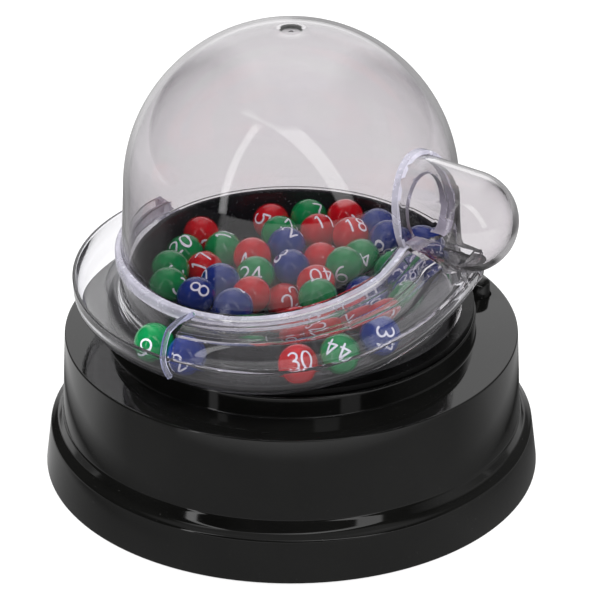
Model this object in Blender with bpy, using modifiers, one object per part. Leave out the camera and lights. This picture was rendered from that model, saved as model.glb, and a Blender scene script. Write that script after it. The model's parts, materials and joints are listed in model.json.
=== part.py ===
"""Small electric bingo cage: a clear dome over a bowl of numbered balls, on a round motor base.

Run with: blender --background --python part.py
Units are metres with +Z up. The origin is the centre of the base on the table.
Driving dimensions below are in millimetres and are scaled by MM where geometry is made.
Azimuths are in degrees from +X, anticlockwise seen from above; the front is at -90.
"""

import math

import bmesh
import bpy
from mathutils import Matrix, Vector

MM = 0.001
OBJECT_NAME = "bingo_cage"

# Resolution of round parts, in sides
FINE = 40
MEDIUM = 20
SMALL = 16
SCREW_SIDES = 12

# Gap left between pieces that touch or are pressed together, and the gap of a turning fit
GAP = 0.3
TURNING_GAP = 0.1

# Base housing
BASE_R = 62.5
RING_TOP_R = 61.1
RING_TOP_Z = 11.6
RING_BOTTOM_Z = 0.6
WALL_FOOT_R = 57.9
WALL_TOP_R = 56.9
SHELF_Z = 37.2
NECK_R = 46.2
NECK_INNER_R = 44.2
NECK_TOP_Z = 42.9
HOUSING_WALL = 1.8

# Cover that closes the base from below
COVER_R = 59.0
COVER_BOTTOM_Z = 1.3
COVER_THICKNESS = 1.7
FOOT_R = 5.0
FOOT_HEIGHT = 1.0
FOOT_RADIUS_FROM_CENTRE = 52.0
FOOT_AZIMUTHS = (30, 150, 270)
BOSS_RADIUS_FROM_CENTRE = 50.0
BOSS_AZIMUTHS = (-15, 90, 195)
BOSS_R = 3.4
PILOT_R = 1.2
SCREW_HOLE_R = 1.5

# Battery box: three cells side by side, lying along X
CELL_R = 7.1
CELL_BODY_LENGTH = 49.2
CELL_NUB_LENGTH = 1.2
CELL_NUB_R = 2.7
CELL_PITCH = 15.0
CELL_CENTRE_Y = -20.0
CELL_Z = 10.4
BOX_LENGTH = 55.6
BOX_WIDTH = 46.4
BOX_WALL = 1.4
BOX_ROOF_Z = 18.4
DOOR_THICKNESS = 1.3
DOOR_TAB_HALF_WIDTH = 5.0
DOOR_TAB_LENGTH = 7.2
DOOR_SCREW_OFFSET = 3.6
DOOR_BOSS_R = 2.8
CONTACT_THICKNESS = 0.4
CONTACT_X = 26.0
CONTACT_WIDTH = 8.0
CONTACT_BOTTOM_Z = 5.0
CONTACT_TOP_Z = 15.5
TAB_HALF_WIDTH = 1.4
TAB_TOP_Z = 22.0
WIRE_R = 0.6

# Bowl
BOWL_R = 41.0
BOWL_WALL = 1.4
BOWL_RIM_Z = 55.4
BOWL_FLANGE_R = 45.8
DISH_CENTRE_Z = 34.0
DISH_CURVE_R = 89.0
WELL_R = 15.0
WELL_FLOOR_Z = 32.4
POST_X = 20.0
POST_Y = 4.0
POST_R = 3.0
PEG_R = 1.3

# Drive train under the bowl
GEAR_MODULE = 0.8
PINION_TEETH = 9
GEAR_TEETH = 36
GEAR_BOTTOM_Z = 26.0
GEAR_THICKNESS = 3.6
SHAFT_R = 1.5
MOTOR_SHAFT_R = 1.0
PLATE_BOTTOM_Z = 23.0
PLATE_THICKNESS = 2.0
BUSHING_R = 3.0
BUSHING_FLANGE_R = 4.0
NOSE_R = 2.9
MOTOR_R = 10.2
MOTOR_FLAT = 15.4
MOTOR_BOTTOM_Z = 3.6
MOTOR_Y = GEAR_MODULE * (PINION_TEETH + GEAR_TEETH) / 2

# Agitator in the bowl's well
AGITATOR_R = 13.0
AGITATOR_BOTTOM_Z = 33.2
FIN_TOP_Z = 40.6
FIN_COUNT = 4
FIN_HALF_THICKNESS = 0.8

# Push button and its switch
BUTTON_RADIUS_FROM_CENTRE = 50.5
BUTTON_AZIMUTH = 20.0
BUTTON_R = 3.3
BUTTON_TOP_Z = 42.0
BUTTON_FLANGE_R = 4.4
BUTTON_FLANGE_Z = 33.2
STEM_R = 1.2
STEM_BOTTOM_Z = 24.6
SPRING_MEAN_R = 2.6
SPRING_WIRE_R = 0.25
SPRING_TURNS = 4
GUIDE_RIB_Z = 27.0
SWITCH_RIB_Z = 15.6
RIB_THICKNESS = 1.8
RIB_HALF_WIDTH = 5.5
RIB_INNER_X = 45.0
RIB_OUTER_X = 56.2
SWITCH_WIRE_R = 46.4

# Dome
DOME_R = 41.4
DOME_CENTRE_Z = 77.0
DOME_WALL = 1.5
SKIRT_FLARE = 0.8
GATE_R = 2.6
GATE_DEPTH = 0.5
RIDGE_R = 43.8
RIDGE_HEIGHT = 2.0
SEAM_LOW_Z = 57.6
SEAM_PORT_Z = 74.6

# Ball tray, a channel that runs round the outside of the dome
TRACK_R = 48.0
BALL_R = 4.9
TRACK_BALL_Z = 51.7
CHANNEL_HALF_WIDTH = 5.2
CHANNEL_WALL = 1.2
CHANNEL_Z = 50.5
CHANNEL_DEPTH = 4.0
TRAY_RIM_Z = 53.3
COLLAR_R = 42.8
COLLAR_INNER_R = 41.5
COLLAR_BOTTOM_Z = 45.1
TRAY_END_AZIMUTH = -228.0
RAMP_FOOT_AZIMUTH = -110.0
RAMP_TOP_AZIMUTH = -33.0
RAMP_RISE = 17.4

# Tunnel over the ramp, and the port that the balls are thrown into
TUNNEL_MOUTH_AZIMUTH = -118.0
TUNNEL_R = 54.4
TUNNEL_WALL = 1.3
PORT_AZIMUTH = -38.0
PORT_Z = 83.5
PORT_END_U = 53.0
PORT_END_R = 12.4
PORT_ROOT_HALF_WIDTH = 11.0
PORT_ROOT_HALF_HEIGHT = 13.4
PORT_WALL = 1.4
PORT_HOLE_HALF_WIDTH = 7.6
PORT_HOLE_HALF_HEIGHT = 8.4
PORT_HOLE_Z = 84.2
FLANGE_WIDTH = 1.8
FLANGE_REACH = 1.9

# Colours
BLACK = (0.012, 0.012, 0.013)
DARK = (0.03, 0.03, 0.032)
CLEAR = (0.86, 0.85, 0.9)
RED = (0.5, 0.01, 0.012)
GREEN = (0.01, 0.22, 0.06)
BLUE = (0.01, 0.02, 0.2)
WIRE_RED = (0.3, 0.01, 0.01)
BALL_COLOURS = {"red": RED, "green": GREEN, "blue": BLUE}

# Drawn balls: colour, number, azimuth on the track
TRAY_BALLS = (
    ("green", 9, -133.4),
    ("blue", 12, -121.2),
    ("red", 30, -87.9),
    ("green", 44, -76.0),
    ("blue", 37, -63.9),
)

# Balls in the bowl: colour, number, and roughly where the middle of each one lies
BOWL_BALLS = (
    ("red", 13, (-23.5, 24.9, 49.8)),
    ("green", 20, (-27.3, 15, 49.8)),
    ("green", 3, (-30.3, -7.8, 52.7)),
    ("red", 17, (-21.9, 6.7, 49.6)),
    ("blue", 8, (-23.1, -14.6, 53.6)),
    ("red", 4, (-9.9, 9.9, 51.6)),
    ("green", 24, (-8.9, -0.6, 52)),
    ("red", 22, (-1.7, -4.5, 46.4)),
    ("red", 5, (-5.3, 33.8, 49.1)),
    ("green", 7, (4.5, 33.9, 50.3)),
    ("blue", 33, (0, 3.9, 51.4)),
    ("red", 11, (6.9, 24.3, 51)),
    ("green", 6, (13.3, 1.2, 53.6)),
    ("red", 40, (6.2, -5.6, 52.3)),
    ("red", 2, (15.6, -18.2, 50.4)),
    ("blue", 26, (18.2, -8.6, 50.1)),
    ("blue", 19, (22.3, 26, 51.6)),
    ("green", 15, (26, 4.6, 49.6)),
    ("blue", 28, (27.8, -6.7, 52.5)),
)
SETTLE_ROUNDS = 60


def clear_scene():
    """Remove every object of the open scene."""
    for obj in list(bpy.data.objects):
        bpy.data.objects.remove(obj, do_unlink=True)


def new_collection(name):
    """Make a collection in the scene, empty at the start."""
    old = bpy.data.collections.get(name)
    if old:
        bpy.data.collections.remove(old)
    made = bpy.data.collections.new(name)
    bpy.context.scene.collection.children.link(made)
    return made


def principled(name, colour, roughness=0.25, metallic=0.0, alpha=1.0):
    """A Principled material."""
    made = bpy.data.materials.new(name)
    made.use_nodes = True
    shader = made.node_tree.nodes["Principled BSDF"]
    shader.inputs["Base Color"].default_value = (*colour, 1.0)
    shader.inputs["Roughness"].default_value = roughness
    shader.inputs["Metallic"].default_value = metallic
    shader.inputs["Alpha"].default_value = alpha
    made.diffuse_color = (*colour, alpha)
    return made


def polar(radius, azimuth, z=0.0):
    """Point at a radius and azimuth, in millimetres."""
    angle = math.radians(azimuth)
    return (radius * math.cos(angle), radius * math.sin(angle), z)


def in_metres(point):
    """A point given in millimetres, as a vector in metres."""
    return Vector(point) * MM


def add_object(name, mesh, material, at=(0, 0, 0), parent=None):
    """Put a mesh in the scene as one named part, or as a cutter when it has no material."""
    obj = bpy.data.objects.new(name, mesh)
    if material:
        mesh.materials.append(material)
        PARTS.objects.link(obj)
    else:
        CUTTERS.objects.link(obj)
        obj.hide_render = True
        obj.display_type = "WIRE"
    obj.location = in_metres(at)
    if parent:
        obj.parent = parent
        obj.location = in_metres(at) - parent.location
    return obj


def mesh_from(name, bm, smooth=True):
    """Close a bmesh into a mesh, with faces out and round surfaces shaded smooth."""
    bmesh.ops.recalc_face_normals(bm, faces=bm.faces)
    mesh = bpy.data.meshes.new(name)
    bm.to_mesh(mesh)
    bm.free()
    if smooth:
        mesh.shade_smooth()
        mesh.set_sharp_from_angle(angle=math.radians(35))
    return mesh


def axis_empty(name, at):
    """An empty on a joint's axis, which carries the pieces that move with it."""
    empty = bpy.data.objects.new(name, None)
    empty.empty_display_size = 10 * MM
    empty.location = in_metres(at)
    PARTS.objects.link(empty)
    return empty


def cylinder(name, radius, bottom, top, at=(0, 0), material=None, sides=MEDIUM, parent=None):
    """An upright cylinder centred on a point in plan."""
    bm = bmesh.new()
    middle = Matrix.Translation((0, 0, (bottom + top) / 2 * MM))
    bmesh.ops.create_cone(
        bm, cap_ends=True, segments=sides, radius1=radius * MM, radius2=radius * MM,
        depth=(top - bottom) * MM, matrix=middle,
    )
    return add_object(name, mesh_from(name, bm), material, (at[0], at[1], 0), parent)


def box(name, low, high, material=None, azimuth=0.0):
    """A box between two corners, which may then be turned about the Z axis."""
    bm = bmesh.new()
    size = [high[i] - low[i] for i in range(3)]
    centre = [(high[i] + low[i]) / 2 for i in range(3)]
    place = Matrix.Rotation(math.radians(azimuth), 4, "Z")
    place = place @ Matrix.Translation(in_metres(centre))
    place = place @ Matrix.Diagonal((*[s * MM for s in size], 1))
    bmesh.ops.create_cube(bm, size=1, matrix=place)
    return add_object(name, mesh_from(name, bm, smooth=False), material)


def combine(obj, other, operation):
    """Join, cut or intersect a part with another closed shape."""
    modifier = obj.modifiers.new(f"{operation.lower()}_{other.name}", "BOOLEAN")
    modifier.operation = operation
    modifier.solver = "EXACT"
    modifier.object = other


def cut(obj, *others):
    """Take closed shapes away from a part."""
    for other in others:
        combine(obj, other, "DIFFERENCE")


def join(obj, *others):
    """Join closed shapes to a part."""
    for other in others:
        combine(obj, other, "UNION")


def turned(name, profile, material=None, sides=FINE, closed=True, at=(0, 0, 0), parent=None):
    """Turn a profile of (radius, z) about Z. It runs down the outer side, from top to bottom."""
    bm = bmesh.new()
    verts = [bm.verts.new(in_metres((r, 0, z))) for r, z in profile]
    for a, b in zip(verts, verts[1:]):
        bm.edges.new((a, b))
    if closed:
        bm.edges.new((verts[-1], verts[0]))
    mesh = bpy.data.meshes.new(name)
    bm.to_mesh(mesh)
    bm.free()
    obj = add_object(name, mesh, material, at, parent)
    screw = obj.modifiers.new("turn", "SCREW")
    screw.steps = sides
    screw.render_steps = sides
    screw.use_merge_vertices = True
    screw.merge_threshold = 0.00001
    screw.use_smooth_shade = True
    return obj


def ring_mesh(name, section_at, azimuths, closed_ring, closed_section=True):
    """Loft a section of (radius, z) points round the Z axis, where the section changes on the way."""
    bm = bmesh.new()
    rows = []
    for azimuth in azimuths:
        rows.append([bm.verts.new(in_metres(polar(r, azimuth, z))) for r, z in section_at(azimuth)])
    count = len(rows[0])
    steps = range(count) if closed_section else range(count - 1)
    pairs = list(zip(rows, rows[1:]))
    if closed_ring:
        pairs.append((rows[-1], rows[0]))
    for here, there in pairs:
        for i in steps:
            j = (i + 1) % count
            bm.faces.new((here[i], here[j], there[j], there[i]))
    if not closed_ring:
        bm.faces.new(rows[0])
        bm.faces.new(list(reversed(rows[-1])))
    bmesh.ops.remove_doubles(bm, verts=bm.verts, dist=0.000001)
    return mesh_from(name, bm)


def arc(centre_r, centre_z, half_width, height, start, end, count):
    """Points of (radius, z) along an elliptical arc, from a start to an end angle in degrees."""
    points = []
    for i in range(count + 1):
        angle = math.radians(start + (end - start) * i / count)
        points.append((centre_r + half_width * math.cos(angle), centre_z + height * math.sin(angle)))
    return points


def ease(value):
    """Smooth step from 0 to 1."""
    t = min(max(value, 0.0), 1.0)
    return t * t * (3 - 2 * t)


def full_ring():
    """Azimuths all round, without the repeated last one."""
    return [360 * i / FINE - 180 for i in range(FINE)]


def span(start, end, step=6.0):
    """Azimuths from a start to an end, evenly spaced."""
    count = max(2, math.ceil(abs(end - start) / step))
    return [start + (end - start) * i / count for i in range(count + 1)]


def seam_z(azimuth):
    """Height of the seam between dome and tray, which climbs along the ramp to the port."""
    a = (azimuth + 180) % 360 - 180
    if a < -146:
        return SEAM_LOW_Z
    climb = min((a + 146) / 89, 1.0)
    low = SEAM_LOW_Z + 12.0 * max(climb, 0.0) ** 2.5
    end_rise = SEAM_PORT_Z - SEAM_LOW_Z - 12.0
    height = low + end_rise * min(max((a + 62) / 11, 0.0), 1.0) ** 2
    return height + (SEAM_LOW_Z - height) * ease((a + 28) / 18)


def ramp_rise(azimuth):
    """How far the tray's floor has risen at an azimuth."""
    t = (azimuth - RAMP_FOOT_AZIMUTH) / (RAMP_TOP_AZIMUTH - RAMP_FOOT_AZIMUTH)
    return RAMP_RISE * min(max(t, 0.0), 1.0) ** 2


def dish_z(radius):
    """Height of the bowl's dished floor at a radius."""
    return DISH_CENTRE_Z + DISH_CURVE_R - math.sqrt(DISH_CURVE_R ** 2 - radius ** 2)


def make_housing():
    """Black base: foot ring, ledge, wall, shelf and neck in one moulding, open below."""
    inner_wall_top = SHELF_Z - HOUSING_WALL
    profile = [
        (NECK_INNER_R, NECK_TOP_Z), (NECK_R - 0.5, NECK_TOP_Z), (NECK_R, NECK_TOP_Z - 0.5),
        (NECK_R, SHELF_Z), (WALL_TOP_R - 0.9, SHELF_Z), (WALL_TOP_R, SHELF_Z - 0.9),
        (WALL_FOOT_R, RING_TOP_Z + 1.2), (WALL_FOOT_R + 0.5, RING_TOP_Z + 0.6),
        (RING_TOP_R - 0.8, RING_TOP_Z), (RING_TOP_R, RING_TOP_Z - 0.8), (BASE_R, RING_BOTTOM_Z),
        (BASE_R - HOUSING_WALL - 0.6, RING_BOTTOM_Z), (RING_TOP_R - HOUSING_WALL, RING_TOP_Z - 2.0),
        (WALL_FOOT_R - HOUSING_WALL, RING_TOP_Z + 0.4), (WALL_TOP_R - HOUSING_WALL, inner_wall_top),
        (NECK_INNER_R, inner_wall_top),
    ]
    housing = turned("base_housing", profile, principled("housing_black", BLACK, 0.12))
    for i, azimuth in enumerate(BOSS_AZIMUTHS):
        at = polar(BOSS_RADIUS_FROM_CENTRE, azimuth)
        boss_bottom = COVER_BOTTOM_Z + COVER_THICKNESS + GAP
        join(housing, cylinder(f"boss_{i + 1}", BOSS_R, boss_bottom, SHELF_Z - 0.9, at, sides=SMALL))
        cut(housing, cylinder(f"pilot_{i + 1}", PILOT_R, boss_bottom - 1, 16, at, sides=SCREW_SIDES))
    for name, rib_z in (("guide_rib", GUIDE_RIB_Z), ("switch_rib", SWITCH_RIB_Z)):
        low = (RIB_INNER_X, -RIB_HALF_WIDTH, rib_z - RIB_THICKNESS)
        high = (RIB_OUTER_X, RIB_HALF_WIDTH, rib_z)
        join(housing, box(name, low, high, azimuth=BUTTON_AZIMUTH))
    at = polar(BUTTON_RADIUS_FROM_CENTRE, BUTTON_AZIMUTH)
    cut(housing, cylinder("button_hole", BUTTON_R + GAP, SHELF_Z - 4, SHELF_Z + 2, at))
    stem_hole_r = STEM_R + TURNING_GAP
    cut(housing, cylinder("stem_hole", stem_hole_r, GUIDE_RIB_Z - 4, GUIDE_RIB_Z + 2, at, sides=SMALL))
    return housing


def make_bottom_cover():
    """Round cover with the battery box, its door opening and the screw holes."""
    top = COVER_BOTTOM_Z + COVER_THICKNESS
    black = principled("cover_black", BLACK, 0.35)
    cover = cylinder("bottom_cover", COVER_R, COVER_BOTTOM_Z, top, material=black, sides=FINE)
    half_x = BOX_LENGTH / 2
    low_y = CELL_CENTRE_Y - BOX_WIDTH / 2
    high_y = CELL_CENTRE_Y + BOX_WIDTH / 2
    shell = box(
        "box_shell", (-half_x - BOX_WALL, low_y - BOX_WALL, COVER_BOTTOM_Z + 0.5),
        (half_x + BOX_WALL, high_y + BOX_WALL, BOX_ROOF_Z + BOX_WALL),
    )
    hollow = box("box_hollow", (-half_x, low_y, -2), (half_x, high_y, BOX_ROOF_Z))
    screw_at = (0, high_y + DOOR_SCREW_OFFSET)
    boss = cylinder("door_boss", DOOR_BOSS_R, COVER_BOTTOM_Z + 0.5, 10, screw_at, sides=SMALL)
    notch_half_x = DOOR_TAB_HALF_WIDTH + GAP
    notch = box(
        "tab_notch", (-notch_half_x, high_y - 2, -2),
        (notch_half_x, high_y + DOOR_TAB_LENGTH, top + GAP),
    )
    join(cover, shell, boss)
    cut(cover, hollow, notch)
    cut(cover, cylinder("door_pilot", PILOT_R, 0, 8.5, screw_at, sides=SCREW_SIDES))
    for i, azimuth in enumerate(BOSS_AZIMUTHS):
        at = polar(BOSS_RADIUS_FROM_CENTRE, azimuth)
        cut(cover, cylinder(f"screw_hole_{i + 1}", SCREW_HOLE_R, 0, top + 1, at, sides=SCREW_SIDES))
    for side, y in ((1, CELL_CENTRE_Y + CELL_PITCH), (-1, CELL_CENTRE_Y - CELL_PITCH)):
        x = side * CONTACT_X
        reach_x = CONTACT_THICKNESS / 2 + 0.5
        reach_y = TAB_HALF_WIDTH + 0.5
        low = (x - reach_x, y - reach_y, BOX_ROOF_Z - 1)
        high = (x + reach_x, y + reach_y, BOX_ROOF_Z + BOX_WALL + 1)
        cut(cover, box(f"tab_slot_{side}", low, high))
    return cover


def make_battery_door():
    """Door under the cells, with its tab and one screw, and the empty that carries it."""
    axis = axis_empty("battery_door_axis", (0, CELL_CENTRE_Y, COVER_BOTTOM_Z))
    half_x = BOX_LENGTH / 2 - GAP
    low_y = CELL_CENTRE_Y - BOX_WIDTH / 2 + GAP
    high_y = CELL_CENTRE_Y + BOX_WIDTH / 2 - GAP
    top = COVER_BOTTOM_Z + DOOR_THICKNESS
    black = principled("door_black", BLACK, 0.35)
    door = box("battery_door", (-half_x, low_y, COVER_BOTTOM_Z), (half_x, high_y, top), black)
    tab_low = (-DOOR_TAB_HALF_WIDTH, high_y - 1, COVER_BOTTOM_Z)
    tab_high = (DOOR_TAB_HALF_WIDTH, high_y + DOOR_TAB_LENGTH, top)
    join(door, box("door_tab", tab_low, tab_high))
    at = (0, CELL_CENTRE_Y + BOX_WIDTH / 2 + DOOR_SCREW_OFFSET)
    cut(door, cylinder("door_screw_hole", SCREW_HOLE_R, 0, top + 1, at, sides=SCREW_SIDES))
    door.parent = axis
    door.location = -axis.location
    screw = make_screw("door_screw", at, 8.0)
    screw.parent = axis
    screw.location -= axis.location
    return axis


def make_screw(name, at, tip_z):
    """Pan-head screw pointing up, its head just under the cover."""
    shank_r = 0.95
    profile = [(0, tip_z), (0.5, tip_z - 0.8), (shank_r, tip_z - 1.8), (shank_r, 1.0)]
    profile += [(2.3, 1.0), (2.5, 0.7), (2.1, 0.25), (0, 0.2)]
    steel = principled(f"{name}_steel", (0.45, 0.45, 0.47), 0.3, 1.0)
    return turned(name, profile, steel, sides=SCREW_SIDES, closed=False, at=(at[0], at[1], 0))


def make_fasteners_and_feet():
    """Three case screws and three rubber feet."""
    for i, azimuth in enumerate(BOSS_AZIMUTHS):
        make_screw(f"case_screw_{i + 1}", polar(BOSS_RADIUS_FROM_CENTRE, azimuth), 14.0)
    for i, azimuth in enumerate(FOOT_AZIMUTHS):
        rubber = principled(f"foot_rubber_{i + 1}", DARK, 0.8)
        at = polar(FOOT_RADIUS_FROM_CENTRE, azimuth)
        cylinder(f"rubber_foot_{i + 1}", FOOT_R, 0, FOOT_HEIGHT, at, rubber)


def make_cells():
    """Three cells, each one turned end for end from its neighbour."""
    nub_end = CELL_BODY_LENGTH / 2 + CELL_NUB_LENGTH
    half = CELL_BODY_LENGTH / 2
    edge = 0.4
    profile = [(0, nub_end), (CELL_NUB_R, nub_end), (CELL_NUB_R, half), (CELL_R - edge, half)]
    profile += [(CELL_R, half - edge), (CELL_R, edge - half), (CELL_R - edge, -half), (0, -half)]
    for i in range(3):
        wrap = principled(f"cell_wrap_{i + 1}", (0.1, 0.1, 0.11), 0.3, 0.4)
        y = CELL_CENTRE_Y + (i - 1) * CELL_PITCH
        cell = turned(f"battery_{i + 1}", profile, wrap, sides=SMALL, closed=False, at=(0, y, CELL_Z))
        cell.rotation_euler = (0, math.radians(90 if i % 2 == 0 else -90), 0)


def make_contacts():
    """Two bridging contacts and two end contacts with solder tabs through the box's roof."""
    x = CONTACT_X
    half = CONTACT_THICKNESS / 2
    rows = [CELL_CENTRE_Y + (i - 1) * CELL_PITCH for i in range(3)]
    wide = CONTACT_WIDTH / 2
    plates = (
        ("bridge_contact_1", x, rows[0] - wide, rows[1] + wide),
        ("bridge_contact_2", -x, rows[1] - wide, rows[2] + wide),
        ("end_contact_plus", x, rows[2] - wide, rows[2] + wide),
        ("end_contact_minus", -x, rows[0] - wide, rows[0] + wide),
    )
    for name, plate_x, low_y, high_y in plates:
        steel = principled(f"{name}_steel", (0.6, 0.6, 0.58), 0.3, 1.0)
        low = (plate_x - half, low_y, CONTACT_BOTTOM_Z)
        plate = box(name, low, (plate_x + half, high_y, CONTACT_TOP_Z), steel)
        if name.startswith("end"):
            y = (low_y + high_y) / 2
            tab_low = (plate_x - half, y - TAB_HALF_WIDTH, CONTACT_TOP_Z - 1)
            tab_high = (plate_x + half, y + TAB_HALF_WIDTH, TAB_TOP_Z)
            join(plate, box(f"{name}_tab", tab_low, tab_high))


def make_bowl():
    """Black bowl: rim, flange that rests on the neck, dished floor, well and two posts."""
    inner = BOWL_R - BOWL_WALL
    flange_bottom = NECK_TOP_Z + GAP
    flange_top = COLLAR_BOTTOM_Z - GAP
    dish_edge_z = dish_z(inner)
    dish_radii = (31.0, 23.0, WELL_R)
    edge = 0.3
    shaft_hole_r = 4.0
    well_outer_r = WELL_R + BOWL_WALL
    well_bottom = WELL_FLOOR_Z - BOWL_WALL
    profile = [(inner, BOWL_RIM_Z - edge), (inner + edge, BOWL_RIM_Z)]
    profile += [(BOWL_R - edge, BOWL_RIM_Z), (BOWL_R, BOWL_RIM_Z - edge), (BOWL_R, flange_top)]
    profile += [(BOWL_FLANGE_R, flange_top), (BOWL_FLANGE_R, flange_bottom), (BOWL_R, flange_bottom)]
    profile += [(BOWL_R, dish_edge_z - BOWL_WALL)]
    profile += [(r, dish_z(r) - BOWL_WALL) for r in dish_radii[:-1]]
    profile += [(well_outer_r, dish_z(WELL_R) - BOWL_WALL), (well_outer_r, well_bottom)]
    profile += [(shaft_hole_r, well_bottom), (shaft_hole_r, WELL_FLOOR_Z), (WELL_R, WELL_FLOOR_Z)]
    profile += [(r, dish_z(r)) for r in reversed(dish_radii)]
    profile += [(inner - 2.2, dish_z(inner - 2.2)), (inner, dish_edge_z + 1.8)]
    bowl = turned("bowl", profile, principled("bowl_black", BLACK, 0.3))
    plate_top = PLATE_BOTTOM_Z + PLATE_THICKNESS
    for side in (-1, 1):
        at = (side * POST_X, POST_Y)
        join(bowl, cylinder(f"post_{side}", POST_R, plate_top + GAP, dish_z(POST_X) - 0.6, at, sides=SMALL))
        peg_bottom = PLATE_BOTTOM_Z - 1.2
        join(bowl, cylinder(f"peg_{side}", PEG_R, peg_bottom, plate_top + 1, at, sides=SCREW_SIDES))
    return bowl


def make_gearbox_plate():
    """Plate on the bowl's pegs that carries the shaft bushing and the motor."""
    plate_top = PLATE_BOTTOM_Z + PLATE_THICKNESS
    white = principled("plate_white", (0.7, 0.7, 0.68), 0.4)
    plate = box("gearbox_plate", (-25, -8, PLATE_BOTTOM_Z), (25, 31, plate_top), white)
    bevel = plate.modifiers.new("corners", "BEVEL")
    bevel.width = 1.0 * MM
    bevel.segments = 1
    below = PLATE_BOTTOM_Z - 1
    above = plate_top + 1
    cut(plate, cylinder("bushing_hole", BUSHING_R + TURNING_GAP * 2, below, above))
    cut(plate, cylinder("motor_nose_hole", NOSE_R + GAP, below, above, (0, MOTOR_Y)))
    for side in (-1, 1):
        at = (side * POST_X, POST_Y)
        cut(plate, cylinder(f"peg_hole_{side}", PEG_R + GAP, below, above, at, sides=SCREW_SIDES))
    return plate


def make_bushing():
    """Flanged bushing that the agitator's shaft turns in."""
    plate_top = PLATE_BOTTOM_Z + PLATE_THICKNESS
    bore = SHAFT_R + TURNING_GAP
    flange_bottom = plate_top + TURNING_GAP
    flange_top = flange_bottom + 0.7
    bottom = PLATE_BOTTOM_Z - 1.0
    profile = [(bore, flange_top), (BUSHING_FLANGE_R, flange_top), (BUSHING_FLANGE_R, flange_bottom)]
    profile += [(BUSHING_R, flange_bottom), (BUSHING_R, bottom), (bore, bottom)]
    bronze = principled("bushing_bronze", (0.45, 0.27, 0.1), 0.35, 1.0)
    return turned("shaft_bushing", profile, bronze, sides=SMALL)


def gear(name, teeth, bottom, bore, at, material, parent):
    """Spur gear with straight-flanked teeth, one of them pointing along local +Y.

    The pinion's odd number of teeth leaves a space on its -Y side, where the driven gear's tooth goes.
    """
    pitch_r = GEAR_MODULE * teeth / 2
    root_r = pitch_r - 1.25 * GEAR_MODULE
    tip_r = pitch_r + 0.8 * GEAR_MODULE
    pitch_angle = 2 * math.pi / teeth
    bm = bmesh.new()
    outline = []
    for i in range(teeth):
        middle = math.pi / 2 + i * pitch_angle
        for radius, share in ((root_r, -0.34), (tip_r, -0.12), (tip_r, 0.12), (root_r, 0.34)):
            azimuth = math.degrees(middle + share * pitch_angle)
            outline.append(bm.verts.new(in_metres(polar(radius, azimuth, bottom))))
    face = bm.faces.new(outline)
    raised = bmesh.ops.extrude_face_region(bm, geom=[face])
    verts = [v for v in raised["geom"] if isinstance(v, bmesh.types.BMVert)]
    bmesh.ops.translate(bm, verts=verts, vec=(0, 0, GEAR_THICKNESS * MM))
    obj = add_object(name, mesh_from(name, bm, smooth=False), material, (at[0], at[1], 0), parent)
    cut(obj, cylinder(f"{name}_bore", bore, bottom - 1, bottom + GEAR_THICKNESS + 1, at, sides=SMALL))
    return obj


def make_motor_drive():
    """Motor can with its turning shaft and pinion."""
    silver = principled("motor_steel", (0.55, 0.55, 0.55), 0.3, 1.0)
    top = PLATE_BOTTOM_Z - GAP
    can = cylinder("motor_can", MOTOR_R, MOTOR_BOTTOM_Z, top, (0, MOTOR_Y), silver, sides=32)
    flats = box("motor_flats", (-15, MOTOR_Y - MOTOR_FLAT / 2, 0), (15, MOTOR_Y + MOTOR_FLAT / 2, 30))
    combine(can, flats, "INTERSECT")
    join(can, cylinder("motor_nose", NOSE_R, top - 1, PLATE_BOTTOM_Z + 1.2, (0, MOTOR_Y), sides=SMALL))
    bore_r = MOTOR_SHAFT_R + TURNING_GAP
    bore_bottom = top - 8
    cut(can, cylinder("motor_bore", bore_r, bore_bottom, 40, (0, MOTOR_Y), sides=SMALL))
    axis = axis_empty("motor_axis", (0, MOTOR_Y, 0))
    steel = principled("motor_shaft_steel", (0.6, 0.6, 0.6), 0.2, 1.0)
    shaft_top = GEAR_BOTTOM_Z + GEAR_THICKNESS + 0.6
    cylinder("motor_shaft", MOTOR_SHAFT_R, bore_bottom + 0.5, shaft_top, (0, MOTOR_Y), steel, SMALL, axis)
    brass = principled("pinion_brass", (0.6, 0.42, 0.14), 0.3, 1.0)
    bore = MOTOR_SHAFT_R + TURNING_GAP
    gear("pinion_gear", PINION_TEETH, GEAR_BOTTOM_Z, bore, (0, MOTOR_Y), brass, axis)


def make_agitator(axis):
    """Agitator disc with four fins, its shaft and the driven gear, all turning about Z."""
    black = principled("agitator_black", DARK, 0.35)
    disc_top = AGITATOR_BOTTOM_Z + 1.6
    bore = SHAFT_R + TURNING_GAP
    bore_top = FIN_TOP_Z - 3
    profile = [(0, FIN_TOP_Z), (1.6, FIN_TOP_Z), (3.4, FIN_TOP_Z - 1.2), (4.2, disc_top)]
    profile += [(AGITATOR_R, disc_top), (AGITATOR_R, AGITATOR_BOTTOM_Z), (bore, AGITATOR_BOTTOM_Z)]
    profile += [(bore, bore_top), (0, bore_top)]
    disc = turned("agitator", profile, black, sides=32, closed=False, parent=axis)
    for i in range(FIN_COUNT):
        low = (2.4, -FIN_HALF_THICKNESS, disc_top - 0.8)
        high = (AGITATOR_R - 0.5, FIN_HALF_THICKNESS, FIN_TOP_Z - 0.4)
        join(disc, box(f"fin_{i + 1}", low, high, azimuth=360 * i / FIN_COUNT + 30))
    steel = principled("shaft_steel", (0.6, 0.6, 0.6), 0.2, 1.0)
    shaft_top = bore_top - 0.4
    cylinder("agitator_shaft", SHAFT_R, PLATE_BOTTOM_Z - 1.6, shaft_top, (0, 0), steel, MEDIUM, axis)
    white = principled("gear_white", (0.75, 0.75, 0.72), 0.4)
    gear("drive_gear", GEAR_TEETH, GEAR_BOTTOM_Z, bore, (0, 0), white, axis)


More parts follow.
